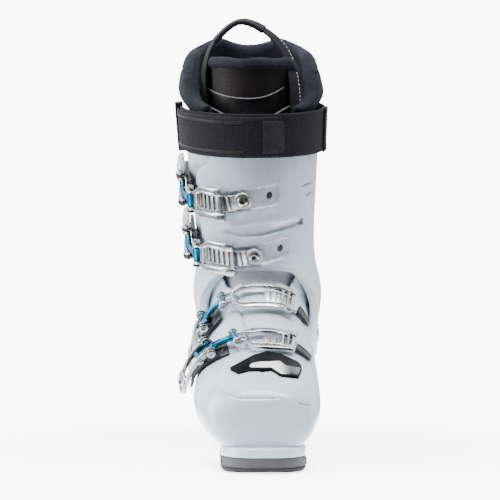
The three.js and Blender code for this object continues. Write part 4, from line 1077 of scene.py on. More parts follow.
def make_liner_collar():
    first, last = 128, 410
    angle = np.linspace(first, last, 230)

    def over_top(points):
        return points[..., 2] > collar_top(points)

    def over_bottom(points):
        return points[..., 2] > through(LINER_BOTTOM, points[..., 1])

    top = cuff_skin.index_where(angle, 6.0, 9.7, over_top)
    low = cuff_skin.index_where(angle, 1.0, 6.0, over_bottom)
    share = np.concatenate([[0, 0.01, 0.03], np.linspace(0.06, 0.86, 110), np.linspace(0.87, 1, 20)])
    index = low + share[:, None] * (top - low)
    height = (top - index) * RIB_HEIGHT
    ends = np.minimum(angle - first, last - angle) * 1.02
    keep = pillow(np.minimum(np.minimum(height, (index - low) * RIB_HEIGHT + 2), ends), 7.5)
    lean = np.abs(np.cos(np.radians(angle))) ** 0.8
    outside = lean * through(LINER_SIDE, index) + (1 - lean) * through(LINER_BACK, index)
    inside = outside + through(LINER_DEPTH, index)
    centre, half = (outside + inside) / 2, (inside - outside) / 2 * keep
    ripple = 0.35 * np.sin(angle / 5.3 + 3 * np.sin(index * 2.1)) * smoothstep(7.2, 8.2, index)
    level = RIB_HEIGHT * (index - 8.15 - 0.12 * np.abs(np.cos(np.radians(angle))))
    reach = sum(smoothstep(34, 22, np.abs(angle - at)) for at in (178, 362))
    seams = np.exp(-((level / 0.9) ** 2)) * reach
    outer = cuff_skin.point(index, angle, centre - half - ripple + 2.0 * seams)
    inner = cuff_skin.point(index, angle, centre + half)
    piece = Form().sheet(outer, inner).make("liner_collar", "cuff", "liner_fleece", "liner_cuff", smooth=60)


def tongue_front(x, z, proud=0.0):
    """A point on the tongue's front face, seen from the front at (x, z)."""
    return cuff_skin.facing(x, z, proud, TONGUE_INSET)


def tongue_inset(angle):
    """The tongue's medial side opens outwards towards the collar."""
    return TONGUE_INSET - 5.5 * smoothstep(112, 150, angle) - 1.5 * smoothstep(45, 20, angle)


def make_tongue():
    first, last, foot = 17, 163, 3.9
    angle = np.linspace(first, last, 130)
    inset = tongue_inset(angle)

    def over_top(points):
        return points[..., 2] > TONGUE_TOP

    fall = 0.55 * smoothstep(134, 162, angle) - 0.2 * ((angle - 90) / 60) ** 2
    top = cuff_skin.index_where(angle, 6.0, 9.6, over_top) - fall
    index = foot + np.linspace(0, 1, 120)[:, None] * (top - foot)
    ends = np.minimum(angle - first, last - angle) * 0.75
    keep = pillow(np.minimum(ends, (top - index) * RIB_HEIGHT + 1), 4.5)
    cushion = 0.7 * np.sin(np.clip((index - foot) * 5.2, 0, 40)) * smoothstep(0, 12, ends)
    outer = cuff_skin.point(index, angle, inset + 4 - (3.6 + 0.4 * cushion) * keep)
    inner = cuff_skin.point(index, angle, inset + 4 + 4 * keep)
    piece = Form().sheet(outer, inner).make("tongue_body", "cuff", "tongue_panel", "liner_tongue",
                                            slot="liner_vinyl", smooth=60)
    make_tongue_fold(angle, top)
    make_shield()


def make_tongue_fold(angle, top):
    """The rolled fleece edge along the tongue's top."""
    angle, top = angle[3:-3], top[3:-3]
    path = cuff_skin.point(top - 0.02, angle, tongue_inset(angle) + 3.2)
    path[:, 2] += 0.6 * np.sin(angle / 7.0) + 1.2
    ends = smoothstep(0, 9, np.minimum(angle - angle[0], angle[-1] - angle))
    form = Form().sweep(path, (0, 0, 1), 3.2 + 1.8 * ends, 2.6 + 2.2 * ends, 4.0, corner=6)
    form.make("tongue_fold", "cuff", "liner_fleece", smooth=60)


def flap_front(x, z, proud=0.0):
    """A point on the liner's front flaps, just behind the cuff."""
    return cuff_skin.facing(x, z, proud, 12.0)


SHIELD_EDGE = [(-46, 321), (-38, 315), (-25, 310.2), (-11, 308.4), (3, 310), (15, 315.6), (24, 323)]


def make_shield():
    """The coated shield low on the tongue, with its U of piping and the collar's crossing flaps."""
    x = np.linspace(-44, 21, 70)[:, None]
    edge = through(SHIELD_EDGE, x)
    z = edge - np.linspace(0, 1, 40)[None] ** 1.2 * (edge - 262)
    lift = 1.3 - edge_drop(np.minimum(np.minimum(x + 44, 21 - x), edge - z), 1.0)
    form = Form().sheet(tongue_front(x, z, lift), tongue_front(x, z, -1.6 + 0 * lift))
    form.make("tongue_shield", "cuff", "liner_vinyl", smooth=60)
    x = np.linspace(-45, 23, 60)
    trim = Form().sweep(tongue_front(x, through(SHIELD_EDGE, x), 1.6), (0, -1, 0), 0.62, 0.62, 0.62)
    for side, corners in (
        ("lateral", [(-52, 307.5), (-45, 303.0), (-37, 298.5), (-26, 292)]),
        ("medial", [(40, 311), (32, 306.0), (22, 300.5), (8, 292)]),
    ):
        way = smooth_path([(x, z, 0.0) for x, z in corners], 40)
        path = flap_front(way[:, 0], way[:, 1], 0.6)
        trim.sweep(path, (0, -1, 0), 0.6, 0.6, 0.6)
        fall = np.linspace(0, 26, 8)[:, None]
        outer = flap_front(way[:, 0], way[:, 1] - fall, 0.0)
        inner = flap_front(way[:, 0], way[:, 1] - fall, -2.2)
        Form().sheet(outer, inner).make(f"liner_flap_{side}", "cuff", "liner_vinyl", smooth=60)
    trim.make("liner_piping", "cuff", "piping", slot="liner_vinyl")


LOOP = [(-46.6, 1, 298), (-48.4, -4, 318), (-46.6, -9, 340), (-38, -13, 359), (-18, -16, 374.6),
        (4, -16, 367.5), (21, -17, 350), (29, -20, 325), (31, -17, 300)]
LOOP_FACE = -1.15  # where the stitches lie, from the ribbon's middle
STITCH = 1.9  # the length of one stitch


def make_loop():
    """The pull loop, a folded ribbon with a sleeve at its top and one stitched edge."""
    count = 120
    path = smooth_path(LOOP, count)
    tangent = unit(np.gradient(path, axis=0))
    t = np.linspace(0, 1, count)
    outward = np.interp(t, [0, 0.45, 0.8, 1], [-0.6, 0.0, 1.0, 1.2])
    lean = np.column_stack([outward, np.ones(count), np.full(count, 0.3)])
    wide = unit(lean - dot(lean, tangent) * tangent)
    thick = np.cross(wide, tangent)
    form = Form().sweep(path, thick, 6.3 - 1.0 * np.sin(np.pi * t) ** 2, 0.95, 0.7)
    sleeve = slice(int(count * 0.37), int(count * 0.63))
    form.sweep(path[sleeve], thick[sleeve], 6.3, 1.9, 0.9)
    form.make("pull_loop", "cuff", "webbing", "tongue_loop", smooth=45)
    stitches = Form()
    seam = path + thick * LOOP_FACE + wide * 4.0
    lengths = np.concatenate([[0], np.cumsum(np.linalg.norm(np.diff(path, axis=0), axis=1))])
    for start in np.arange(lengths[-1] * 0.68, lengths[-1] - 4, 3.3):
        at = np.interp([start, start + STITCH], lengths, np.arange(count))
        ends = [[np.interp(v, np.arange(count), seam[:, c]) for c in range(3)] for v in at]
        way = thick[int(at[0])]
        stitches.sweep(ends, way, 0.34, 0.3, 0.28, corner=2)
    stitches.make("loop_stitching", "cuff", "thread", slot="webbing")


# ---------------------------------------------------------------- power strap
STRAP = {"low": 6.26, "high": 7.47, "ring": -106.0, "flap_end": 26.0}
STRAP_HEIGHT = 37.0
STRAP_BELT = Belt(cuff_skin, [(0, 6.87), (180, 6.87)])


def strap_place(arc, share, proud):
    """A point on the strap's surface: share runs 0 to 1 from its lower to its upper edge."""
    arc, share, proud = np.broadcast_arrays(*(np.asarray(v, float) for v in (arc, share, proud)))
    angle = np.interp(arc, STRAP_BELT.lengths, STRAP_BELT.angles)
    radians = np.radians(angle)
    drop = 0.17 * (1 - np.sin(radians))
    loose = 2.4 * np.maximum(0, -np.cos(radians)) ** 4
    index = STRAP["low"] + share * (STRAP["high"] - STRAP["low"]) - drop
    return cuff_skin.off(index, angle, proud + loose)


def strap_sheet(arcs, shares, low, high, round_end=0.0):
    """A web of cloth between two heights, with soft edges; `round_end` rounds its far corners."""
    arcs, shares = np.asarray(arcs, float)[:, None], np.asarray(shares, float)[None]
    if round_end:
        across = (np.abs(shares - shares.mean()) - np.ptp(shares) / 2) * STRAP_HEIGHT + round_end
        pull = round_end - np.sqrt(np.maximum(round_end**2 - np.maximum(across, 0) ** 2, 0))
        far = np.clip((arcs - arcs[0]) / np.ptp(arcs), 0, 1)
        arcs = arcs - pull * far
    edge = np.minimum(shares - shares.min(), shares.max() - shares) * STRAP_HEIGHT
    drop = edge_drop(edge + 0 * arcs, 0.6)
    selvedge = 0.3 * smoothstep(0.4, 1.2, edge) * smoothstep(5.2, 4.2, edge)
    outer = strap_place(arcs, shares, high - drop + selvedge)
    inner = strap_place(arcs, shares, low + 0.4 * drop)
    marks = np.stack(np.broadcast_arrays(arcs, shares * STRAP_HEIGHT), -1)
    return Form().sheet(outer, inner, marks=marks)


def make_strap():
    shares = np.concatenate([[0, 0.008, 0.02], np.linspace(0.04, 0.96, 34), [0.98, 0.992, 1]])
    ring = STRAP["ring"]
    band = strap_sheet(spaced(ring + 0.6, 268, 1.6), shares, 0.9, 3.1)
    band.make("strap_band", "cuff", "webbing", "power_strap")
    fold = strap_sheet(spaced(80, 99, 1.2), np.linspace(-0.01, 1.01, 40), 3.15, 5.2)
    fold.make("strap_fold", "cuff", "webbing")
    make_strap_ring(ring)
    end = STRAP["flap_end"]
    small = np.linspace(0.045, 0.955, 50)
    flap = strap_sheet(spaced(ring + 1.4, end, 1.0), small, 4.1, 6.0, round_end=7.0)
    flap.make("strap_tail", "strap_flap", "webbing", "strap_flap")
    tab = strap_sheet(spaced(7.0, end - 1.6, 0.8), np.linspace(0.12, 0.88, 40), 5.9, 6.6, round_end=4.5)
    tab.make("strap_tab", "strap_flap", "woven_panel", slot="webbing")
    welts = Form()
    for share in (0.16, 0.84):
        arcs = spaced(ring + 12, -8, 1.5)
        path = strap_place(arcs, share, 6.05)
        up = strap_place(arcs, share, 8.0) - path
        welts.sweep(path, up, 1.1, 0.55, 0.5)
    welts.make("strap_welts", "strap_flap", "liner_vinyl", slot="webbing")
    stitching = Form()
    for share in (0.1, 0.9):
        for arc in np.arange(ring + 10, end - 8, 3.2):
            stitch(stitching, [arc, arc + STITCH], share, 6.15)
    for share in np.arange(0.17, 0.8, 0.085):
        stitch(stitching, 9.0, [share, share + 0.05], 6.75)
    stitching.make("strap_stitching", "strap_flap", "woven_panel", slot="webbing")


def stitch(form, arcs, shares, height):
    """One stitch on the strap, along it or across it."""
    ends = strap_place(arcs, shares, height)
    form.sweep(ends, strap_place(arcs, shares, height + 1) - ends, 0.3, 0.26, 0.25, corner=2)


def make_strap_ring(ring):
    """The flattened buckle ring that the strap's tail turns back through."""
    corners = [(ring - 6.0, 0.0), (ring - 6.4, 0.5), (ring - 6.0, 1.0), (ring - 3.4, 1.03),
               (ring - 1.1, 1.0), (ring - 0.9, 0.5), (ring - 1.1, 0.0), (ring - 3.4, -0.03)]
    way = smooth_path(corners, 72, closed=True)
    path = strap_place(way[:, 0], way[:, 1], 4.6)
    up = strap_place(way[:, 0], way[:, 1], 8.0) - path
    Form().sweep(path, up, 0.95, 3.4, 0.8, closed=True).make("strap_loop_ring", "cuff", "black_plastic",
                                                             "strap_ring")


# ---------------------------------------------------------------- buckles
PIN_HEIGHT = 8.8
LINK_HEIGHT = 7.0
HINGE_HEIGHT = 7.4
LINK_BACK = 9.6
LINK_REACH = 21.5  # from the lever's pivot to the bail's hinge


class Buckle:
    """One buckle's line on its skin and where its parts sit along it."""

    def __init__(self, name, host, line, pivot, hook, ladder, lever, lift=0.0, screw=None, spare=None,
                 strap=None):
        skin = cuff_skin if host == "cuff" else shell_skin
        self.name, self.host, self.hook, self.ladder, self.lever = name, host, hook, ladder, lever
        self.pivot, self.screw, self.spare, self.strap = pivot, screw, spare, strap
        self.hinge = pivot + LINK_REACH
        self.belt = Belt(skin, line, lift)
        self.plane = PinPlane(self.belt, pivot)
        self.axis = self.plane.pin[3]
        self.at = {
            "lever": self.plane.place(pivot, 0, PIN_HEIGHT),
            "link": self.plane.place(pivot - LINK_BACK, 0, LINK_HEIGHT),
            "bail": self.plane.place(self.hinge, 0, HINGE_HEIGHT),
        }


BUCKLES = [
    Buckle("collar", "cuff", [(-40, 5.6), (-10, 5.28), (20, 4.98), (60, 4.92), (83, 5.06), (103, 5.17)],
           -86, -30, (-56, -3), 46, screw=-10.5, spare=13),
    Buckle("shin", "cuff", [(-40, 4.1), (-10, 3.74), (20, 3.44), (70, 3.38), (92, 3.5), (112, 3.62)],
           -80, -22, (-48, 6), 46, lift=1, screw=-3, spare=21.5),
    Buckle("instep", "shell", [(-30, 7.9), (30, 7.85), (90, 7.85), (150, 7.85)],
           -51, 24, (3, 33), 42, strap=(34, 50)),
    Buckle("toe", "shell", [(-30, 6.1), (30, 5.95), (90, 5.97), (150, 5.97)],
           -42, 23, (2, 28), 38, strap=(29, 44)),
]


def dome(radius, height, socket=0.0):
    """The profile of a rivet head, with an optional round socket."""
    profile = [(0, radius * 0.96), (height * 0.35, radius), (height * 0.75, radius * 0.93),
               (height, radius * 0.72)]
    if socket:
        profile += [(height, socket + 0.15), (height * 0.55, socket * 0.9), (height * 0.5, 0.0)]
    else:
        profile += [(height * 1.08, 0.0)]
    return profile


def make_base(buckle):
    p, plane, axis, pin = buckle.pivot, buckle.plane, buckle.axis, buckle.at["lever"]
    form = Form()
    arcs = spaced(p - 31, p + 14, 1.5)
    narrow = 9 * np.maximum(0, (p - 18 - arcs) / 18) ** 2 + 1.8 * smoothstep(p + 7, p + 14, arcs)
    bar(form, buckle.belt, arcs, narrow - 14.8, 14.8 - narrow, 1.2, 3.3, 0.9)
    bar(form, buckle.belt, spaced(p - 26, p + 9, 1.5), -9.5, 9.5, 2.6, 3.9, 0.7)
    for side in (-1, 1):
        post = spaced(p - 5.2, p + 5.2, 1.3)
        bow = 1 - ((post - p) / 5.4) ** 2
        bar(form, plane, post, side * 12.35, side * 14.6, 2.2, 4.0 + (PIN_HEIGHT - 3.0) * bow ** 0.6, 0.6)
        centre = pin + axis * side * 13.48
        form.turned(centre - axis * 1.15, axis, [(0, 3.7), (0.3, 4.2), (2.0, 4.2), (2.3, 3.7)])
        for arc in (p - 20, p + 9):
            head = buckle.belt.place(arc, side * 6.2, 3.8)
            normal = buckle.belt.frame(np.float64(arc))[2]
            form.turned(head, normal, [(0, 1.9), (0.4, 1.8), (0.7, 1.2)], 20)
    form.make(f"{buckle.name}_plate", buckle.host, "black_plastic", f"{buckle.name}_base")


def lever_height(buckle, arcs):
    return 5.8 + 3.2 * np.minimum(1, (buckle.pivot - arcs) / buckle.lever) ** 2


def make_lever(buckle):
    p, plane, axis = buckle.pivot, buckle.plane, buckle.axis
    tail = p - buckle.lever
    form = Form()
    arcs = spaced(tail + 3, p + 0.5, 1.2)
    share = np.clip((p - arcs) / buckle.lever, 0, 1)
    crest = 11.9 - 1.3 * np.sin(math.pi * share) ** 2 - 1.0 * smoothstep(0.15, 0, share)
    for side in (-1, 1):
        bar(form, plane, arcs, side * 9.15, side * 11.65, lever_height(buckle, arcs), crest, 0.9)
        for at, edge, radius in (("lever", 3.4, 3.8), ("link", 2.8, 3.1)):
            boss = buckle.at[at] + axis * (9.1 if side > 0 else -11.7)
            form.turned(boss, axis, [(0, edge), (0.3, radius), (2.3, radius), (2.6, edge)])
    cover = spaced(tail + 11, p - 25.5, 1.2)
    bar(form, plane, cover, -10.2, 10.2, 9.4, 11.4, 0.9)
    for arc in spaced(tail + 12.5, p - 27.5, 2.8):
        bar(form, plane, spaced(arc - 0.7, arc + 0.7, 0.7), -8.6, 8.6, 11.0, 12.1, 0.5)
    ring = [(tail + 1.6, 0), (tail + 2.2, 7), (tail + 5.5, 10.2), (tail + 10.5, 10.4), (tail + 13, 8),
            (tail + 13.2, 0), (tail + 13, -8), (tail + 10.5, -10.4), (tail + 5.5, -10.2), (tail + 2.2, -7)]
    way = smooth_path(ring, 72, closed=True)
    path = plane.place(way[:, 0], way[:, 1], 10.7)
    up = plane.place(way[:, 0], way[:, 1], 13.0) - path
    form.sweep(path, up, 1.35, 1.5, 1.1, closed=True)
    form.make(f"{buckle.name}_arm", f"{buckle.name}_lever", "alloy", f"{buckle.name}_lever")


def make_rivets(buckle):
    axis = buckle.axis
    for side, end in ((-1, "high"), (1, "low")):
        form = Form()
        form.turned(buckle.at["lever"] + axis * side * 15.1, axis * side, dome(3.9, 1.6, 1.3))
        shaft = buckle.at["lever"] + axis * side * 8.9
        form.turned(shaft, axis * side, [(0, 1.5), (0.2, 1.7), (6.3, 1.7)], 20)
        node = f"{buckle.name}_lever_rivet_{end}"
        form.make(f"{buckle.name}_rivet_{end}", f"{buckle.name}_lever", "steel", node)
    for node, name, at, reach, radius, body in (
        ("link_pin", "link", "link", 12.1, 2.5, "lever"),
        ("bail_pin", "bail", "bail", 11.4, 4.0, "link"),
    ):
        form = Form()
        centre = buckle.at[at]
        form.turned(centre - axis * reach, axis, [(0, 1.35), (2 * reach, 1.35)], 20)
        for side in (-1, 1):
            form.turned(centre + axis * side * reach, axis * side, dome(radius, 1.1, 0.9))
        form.make(f"{buckle.name}_{name}_axle", f"{buckle.name}_{body}", "steel", f"{buckle.name}_{node}")


def make_link(buckle):
    p, plane, axis, hinge = buckle.pivot, buckle.plane, buckle.axis, buckle.hinge
    form = Form()
    arcs = spaced(p - LINK_BACK - 1, p + 4.5, 1.0)
    waist = 1.7 * np.sin(math.pi * (arcs - arcs[0]) / np.ptp(arcs)) ** 2
    bar(form, plane, arcs, waist - 7.7, 7.7 - waist, LINK_HEIGHT - 1.5, LINK_HEIGHT + 1.4, 1.1)
    arcs = spaced(p + 1.5, hinge, 1.0)
    share = (arcs - arcs[0]) / np.ptp(arcs)
    half = 4.6 - 1.6 * np.sin(math.pi * share) ** 1.5
    low = LINK_HEIGHT - 1.6 + 0.9 * share
    bar(form, plane, arcs, -half, half, low, low + 3.2 + 0.5 * share, 1.3)
    groove = spaced(p + 3, hinge - 4, 1.0)
    for side in (-1, 1):
        bar(form, plane, groove, side * 1.4, side * 3.2, LINK_HEIGHT + 0.8, LINK_HEIGHT + 2.6, 0.6)
    for at, radius, half in (("link", 2.75, 7.8), ("bail", 3.15, 6.2)):
        start = buckle.at[at] - axis * half
        profile = [(0, radius - 0.5), (0.5, radius), (2 * half - 0.5, radius), (2 * half, radius - 0.5)]
        form.turned(start, axis, profile)
    form.make(f"{buckle.name}_yoke", f"{buckle.name}_link", "blue_alloy", f"{buckle.name}_link")


def make_bail(buckle):
    """The cast frame: two waisted rails, a bar at each end, and the hooked block over the ladder."""
    hinge, hook = buckle.hinge, buckle.hook
    belt = PinPlane(buckle.belt, buckle.pivot, hinge + 2)
    form = Form()
    arcs = spaced(hinge + 0.4, hook + 3.6, 0.9)
    share = np.minimum(1, (arcs - hinge) / 14)
    low = 5 - 1.4 * share
    high = 8.9 - 1.7 * share
    outside = np.clip(9.9 + (arcs - hinge - 7) * 0.6, 9.9, 14.2)
    window = np.clip((arcs - hinge - 11) / np.maximum(hook - hinge - 15, 1), 0, 1)
    waist = np.sin(window * math.pi) ** 0.7
    for side in (-1, 1):
        bar(form, belt, arcs, side * (7.4 + 0.8 * waist), side * outside, low, high - 0.4 * waist, 0.9)
        crest = spaced(hinge + 10, hook, 1.0)
        bar(form, belt, crest, side * 8.6, side * 10.2, 6.2, 7.6, 0.6)
        bar(form, belt, spaced(hook - 3.4, hook + 3.8, 0.9), side * 7.9, side * 14.8, 3.9, 8.3, 0.9)
        start = buckle.at["bail"] + buckle.axis * (6.85 if side > 0 else -10.05)
        form.turned(start, buckle.axis, [(0, 3.0), (0.35, 3.4), (2.85, 3.4), (3.2, 3.0)])
    cross_bar(form, belt, hook + 1.9, 12.4, 6.2, 1.7, 1.15)
    cross_bar(form, belt, hinge + 8.8, 10.8, 6.6, 1.8, 1.1)
    if buckle.strap:
        for offset, height, half in ((-6.6, 6.6, 1.7), (-2.2, 7.4, 1.1)):
            cross_bar(form, belt, hook + offset, 8.4, height - 0.4, half, 1.0)
        origin, _, normal, across = belt.frame(np.float64(hook - 1.6))
        for side in (-1, 1):
            place = origin + normal * (7.6 + belt.lift) + across * side * 10.6
            cap = [(0, 2.2), (0.5, 2.3), (0.9, 2.0), (0.9, 1.2), (0.5, 1.1), (0.5, 0)]
            form.turned(place, normal, cap, 24)
    form.make(f"{buckle.name}_frame", f"{buckle.name}_bail", "alloy", f"{buckle.name}_bail")


def cross_bar(form, belt, arc, reach, height, half_wide, half_high):
    width = np.linspace(-reach, reach, 14)
    path = belt.place(arc, width, height)
    up = belt.place(arc, width, height + 3) - path
    form.sweep(path, up, half_wide, half_high, 0.9)


def make_ladder(buckle):
    start, end = buckle.ladder
    teeth_end = end - (14 if buckle.screw is not None else 0)
    form = Form()
    belt = buckle.belt
    plate_end = end if buckle.screw is None else buckle.screw + 1
    bar(form, belt, spaced(start, plate_end, 1.2), -6.4, 6.4, 1.3, 3.0, 0.5)
    for arc in np.arange(start, teeth_end - 4.9, 5.0):
        arcs = np.array([arc + 0.15, arc + 1.6, arc + 3.2, arc + 4.35])
        bar(form, belt, arcs, -6.5, 6.5, 2.2, np.array([3.3, 3.9, 4.4, 4.55]), 0.45)
    for side in (-1, 1):
        bar(form, belt, spaced(start, teeth_end, 1.5), side * 5.9, side * 6.9, 1.4, 3.5, 0.4)
    if buckle.screw is not None:
        origin, _, normal, _ = belt.frame(np.float64(buckle.screw))
        base = origin + normal * (belt.lift + 1.2)
        collar = [(0, 6.9), (0.3, 7.3), (1.5, 7.3), (1.9, 6.9), (1.95, 5.6), (1.6, 5.3)]
        form.turned(base, normal, collar, 48)
    form.make(f"{buckle.name}_rack", buckle.host, "ladder_alloy", f"{buckle.name}_ladder", slot="alloy")


def star(radius, sides=48):
    turn = np.linspace(0, 2 * math.pi, sides, endpoint=False)
    return (radius * (1 + 0.2 * np.cos(6 * turn)))[:, None]


def make_ladder_screw(buckle):
    """A screw with a rounded head and a six-lobed socket."""
    origin, _, normal, _ = buckle.belt.frame(np.float64(buckle.screw))
    head = origin + normal * (buckle.belt.lift + 3.5)
    profile = [(-4.8, 1.9), (0, 1.9), (0.05, 4.3), (0.4, 4.65), (1.2, 4.5), (1.75, 3.7), (1.95, 2.7),
               (1.95, star(2.0)), (0.9, star(1.9)), (0.85, 0.0)]
    form = Form().turned(head, normal, profile, 48)
    form.make(f"{buckle.name}_socket_screw", buckle.host, "steel", f"{buckle.name}_ladder_screw")
    # painted shade: a dark floor inside the six-lobed socket
    floor = [(0.2, 0.5), (0.2, star(1.88)), (0.32, star(1.88)), (0.32, 0)]
    pit = Form().turned(head + normal * 0.7, normal, floor, 48)
    pit.make(f"{buckle.name}_socket_floor", buckle.host, "recess", slot="steel")


def make_ladder_strap(buckle):
    start, end = buckle.strap
    form = Form()
    arcs = spaced(start, end, 1.2)
    share = (arcs - start) / (end - start)
    bar(form, buckle.belt, arcs, -5.6, 5.6, 1.2, 3.7 - 1.2 * share, 0.7)
    for side in (-1, 1):
        bar(form, buckle.belt, arcs, side * 4.4, side * 5.6, 2.0, 4.1 - 1.2 * share, 0.5)
    form.make(f"{buckle.name}_tail", buckle.host, "black_plastic", f"{buckle.name}_ladder_strap")


def make_buckle(buckle):
    make_base(buckle)
    make_lever(buckle)
    make_rivets(buckle)
    make_link(buckle)
    make_bail(buckle)
    make_ladder(buckle)
    if buckle.strap:
        make_ladder_strap(buckle)
    else:
        make_ladder_screw(buckle)


# ---------------------------------------------------------------- rivets and screws
def make_pivots():
    for side, name in ((-1, "lateral"), (1, "medial")):
        centre = np.array([side * 53.0, *PIVOT])
        way = np.array([side, 0.0, 0.0])
        profile = [(-13, 3.4), (0, 3.4), (0.02, 8.2), (0.4, 8.6), (1.2, 8.5), (1.7, 7.7), (1.8, 6.2),
                   (1.35, 5.9), (1.3, 3.2), (1.7, 2.9), (1.8, 2.4), (1.2, 2.1), (1.15, 0.0)]
        Form().turned(centre, way, profile, 48).make(f"ankle_rivet_{name}", "shell", "steel",
                                                     f"pivot_rivet_{name}")


def make_spine_screws():
    for index, name in ((3.2, "low"), (4.4, "high")):
        skin, normal = cuff_skin.point(index, 270.0), cuff_skin.normal(index, 270.0)
        profile = [(-4.5, 2.6), (0.3, 2.6), (0.35, 5.6), (0.8, 6.0), (1.9, 5.9), (2.6, 5.0), (2.8, 3.4),
                   (2.8, star(2.6)), (1.6, star(2.4)), (1.5, 0.0)]
        Form().turned(skin, normal, profile, 48).make(f"spine_socket_screw_{name}", "cuff", "steel",
                                                      f"spine_screw_{name}")


# ---------------------------------------------------------------- the set
FLOOR_GLOW = 4.6
FLOOR_RADIUS = 0.6
ROOM_STRENGTH = 2.8
BACKDROP_STRENGTH = 9.5
CAMERA_AT = (-0.0522, -1.9075, 0.179)
CAMERA_TURN = math.radians(1.4)


def make_stage():
    """A pale floor that melts into the bright backdrop a little way from the boot, its glow darkened next
    to the boot as a painted contact shadow.
    """
    floor = Nodes("floor")
    at = floor.place()
    reach = floor.node("ShaderNodeVectorMath", {0: at}, operation="LENGTH").outputs["Value"]
    floor.set(Base_Color=floor.tint(floor.noise(at, 3.0), (0.88, 0.885, 0.89), (0.9, 0.905, 0.91)))
    floor.set(Roughness=0.9, Alpha=floor.ramp(reach, [(0.16, 1.0), (0.4, 0.0)]))
    floor.set(Specular_IOR_Level=0.1)
    # painted contact shadow: ambient occlusion dims the floor's glow where it meets the boot
    contact = floor.node("ShaderNodeAmbientOcclusion", {"Distance": 0.03}, samples=8).outputs["AO"]
    glow_and_painted_contact_shadow = floor.ramp(contact, [(0.1, (0.02, 0.02, 0.022)), (0.62, (0.97, 0.98, 1.0))])
    floor.set(Emission_Color=glow_and_painted_contact_shadow, Emission_Strength=FLOOR_GLOW)
    turn = np.linspace(0, 2 * math.pi, 96, endpoint=False)
    rim = [(FLOOR_RADIUS * math.cos(a), FLOOR_RADIUS * math.sin(a) - 0.1, -0.0002) for a in turn]
    mesh = bpy.data.meshes.new("floor")
    mesh.from_pydata(rim, [], [list(range(len(rim)))])
    mesh.materials.append(floor.material)
    plane = bpy.data.objects.new("floor", mesh)
    bpy.context.scene.collection.objects.link(plane)


def area_light(name, place, aim, size, power, color=(1, 1, 1)):
    data = bpy.data.lights.new(name, "AREA")
    data.shape = "RECTANGLE"
    data.size, data.size_y = size
    data.energy = power
    data.color = color
    light = bpy.data.objects.new(name, data)
    light.location = place
    light.rotation_euler = (Vector(aim) - Vector(place)).to_track_quat("-Z", "Y").to_euler()
    bpy.context.scene.collection.objects.link(light)


def sky_ramp(tree, direction, stops):
    """A shade that runs along one direction of the sky, from -1 to 1."""
    share = tree.nodes.new("ShaderNodeMath")
    share.operation = "MULTIPLY_ADD"
    share.inputs[1].default_value = 0.5
    share.inputs[2].default_value = 0.5
    ramp = tree.nodes.new("ShaderNodeValToRGB")
    marks = ramp.color_ramp.elements
    while len(marks) < len(stops):
        marks.new(0.5)
    for mark, (place, color) in zip(marks, stops):
        mark.position = place
        mark.color = (*color, 1)
    tree.links.new(direction, share.inputs[0])
    tree.links.new(share.outputs[0], ramp.inputs[0])
    return ramp.outputs[0]


def multiply(tree, a, b):
    made = tree.nodes.new("ShaderNodeVectorMath")
    made.operation = "MULTIPLY"
    tree.links.new(a, made.inputs[0])
    tree.links.new(b, made.inputs[1])
    return made.outputs[0]


def grey(shade):
    """A neutral shade, very slightly cool."""
    return (shade * 0.95, shade * 0.975, shade)


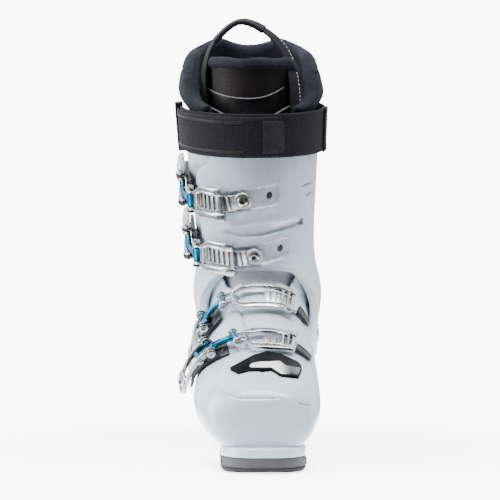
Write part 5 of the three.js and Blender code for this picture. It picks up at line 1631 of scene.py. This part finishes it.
def make_light():
    """A pale room, darker behind the camera and on the right, with soft boxes left, right and above."""
    world = bpy.data.worlds.new("studio")
    bpy.context.scene.world = world
    world.use_nodes = True
    tree = world.node_tree
    room = tree.nodes["Background"]
    at = tree.nodes.new("ShaderNodeTexCoord")
    split = tree.nodes.new("ShaderNodeSeparateXYZ")
    tree.links.new(at.outputs["Generated"], split.inputs[0])
    depth = sky_ramp(tree, split.outputs[1], ((0.05, grey(0.035)), (0.3, grey(0.17)), (0.62, grey(0.97))))
    height = sky_ramp(tree, split.outputs[2], ((0.38, (0.3, 0.3, 0.3)), (0.72, (1.15, 1.15, 1.15))))
    flank_stops = ((0.5, (1, 1, 1)), (0.78, (0.55, 0.55, 0.55)), (1, (0.8, 0.8, 0.8)))
    flank = sky_ramp(tree, split.outputs[0], flank_stops)
    shade = multiply(tree, multiply(tree, depth, height), flank)
    tree.links.new(shade, room.inputs[0])
    room.inputs[1].default_value = ROOM_STRENGTH
    backdrop = tree.nodes.new("ShaderNodeBackground")
    backdrop.inputs[0].default_value = (0.985, 0.985, 1.0, 1)
    backdrop.inputs[1].default_value = BACKDROP_STRENGTH
    seen = tree.nodes.new("ShaderNodeLightPath")
    mix = tree.nodes.new("ShaderNodeMixShader")
    tree.links.new(seen.outputs["Is Camera Ray"], mix.inputs[0])
    tree.links.new(room.outputs[0], mix.inputs[1])
    tree.links.new(backdrop.outputs[0], mix.inputs[2])
    tree.links.new(mix.outputs[0], tree.nodes["World Output"].inputs[0])
    area_light("left_box", (-1.3, -0.35, 0.6), (0, -0.1, 0.2), (0.5, 1.5), 34)
    area_light("right_box", (1.3, -0.25, 0.6), (0, -0.1, 0.2), (0.4, 1.5), 4)
    area_light("top_box", (0, -0.75, 1.5), (0, -0.2, 0.1), (1.0, 0.5), 44)


def make_camera():
    data = bpy.data.cameras.new("camera")
    data.lens = 150.0
    data.sensor_width = 36.0
    camera = bpy.data.objects.new("camera", data)
    camera.location = CAMERA_AT
    camera.rotation_euler = (math.radians(90), 0, -CAMERA_TURN)
    bpy.context.scene.collection.objects.link(camera)
    bpy.context.scene.camera = camera
    data.clip_start, data.clip_end = 0.05, 100.0


def finish_cad_nodes():
    """The footbed keeps its CAD shape, with a softened edge and its own plastic."""
    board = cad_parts["boot_board"]
    board.data.materials.clear()
    board.data.materials.append(FINISHES["board_plastic"])
    bevel = board.modifiers.new("edges", "BEVEL")
    bevel.width = 0.0008
    bevel.segments = 3
    bevel.limit_method = "ANGLE"


def main():
    make_camera()
    make_light()
    make_stage()
    make_soles()
    make_lower_shell()
    make_gaiter()
    make_badge()
    make_cuff()
    make_spoiler()
    make_liner_foot()
    make_liner_collar()
    make_tongue()
    make_loop()
    make_strap()
    for buckle in BUCKLES:
        make_buckle(buckle)
    make_pivots()
    make_spine_screws()
    finish_cad_nodes()


main()
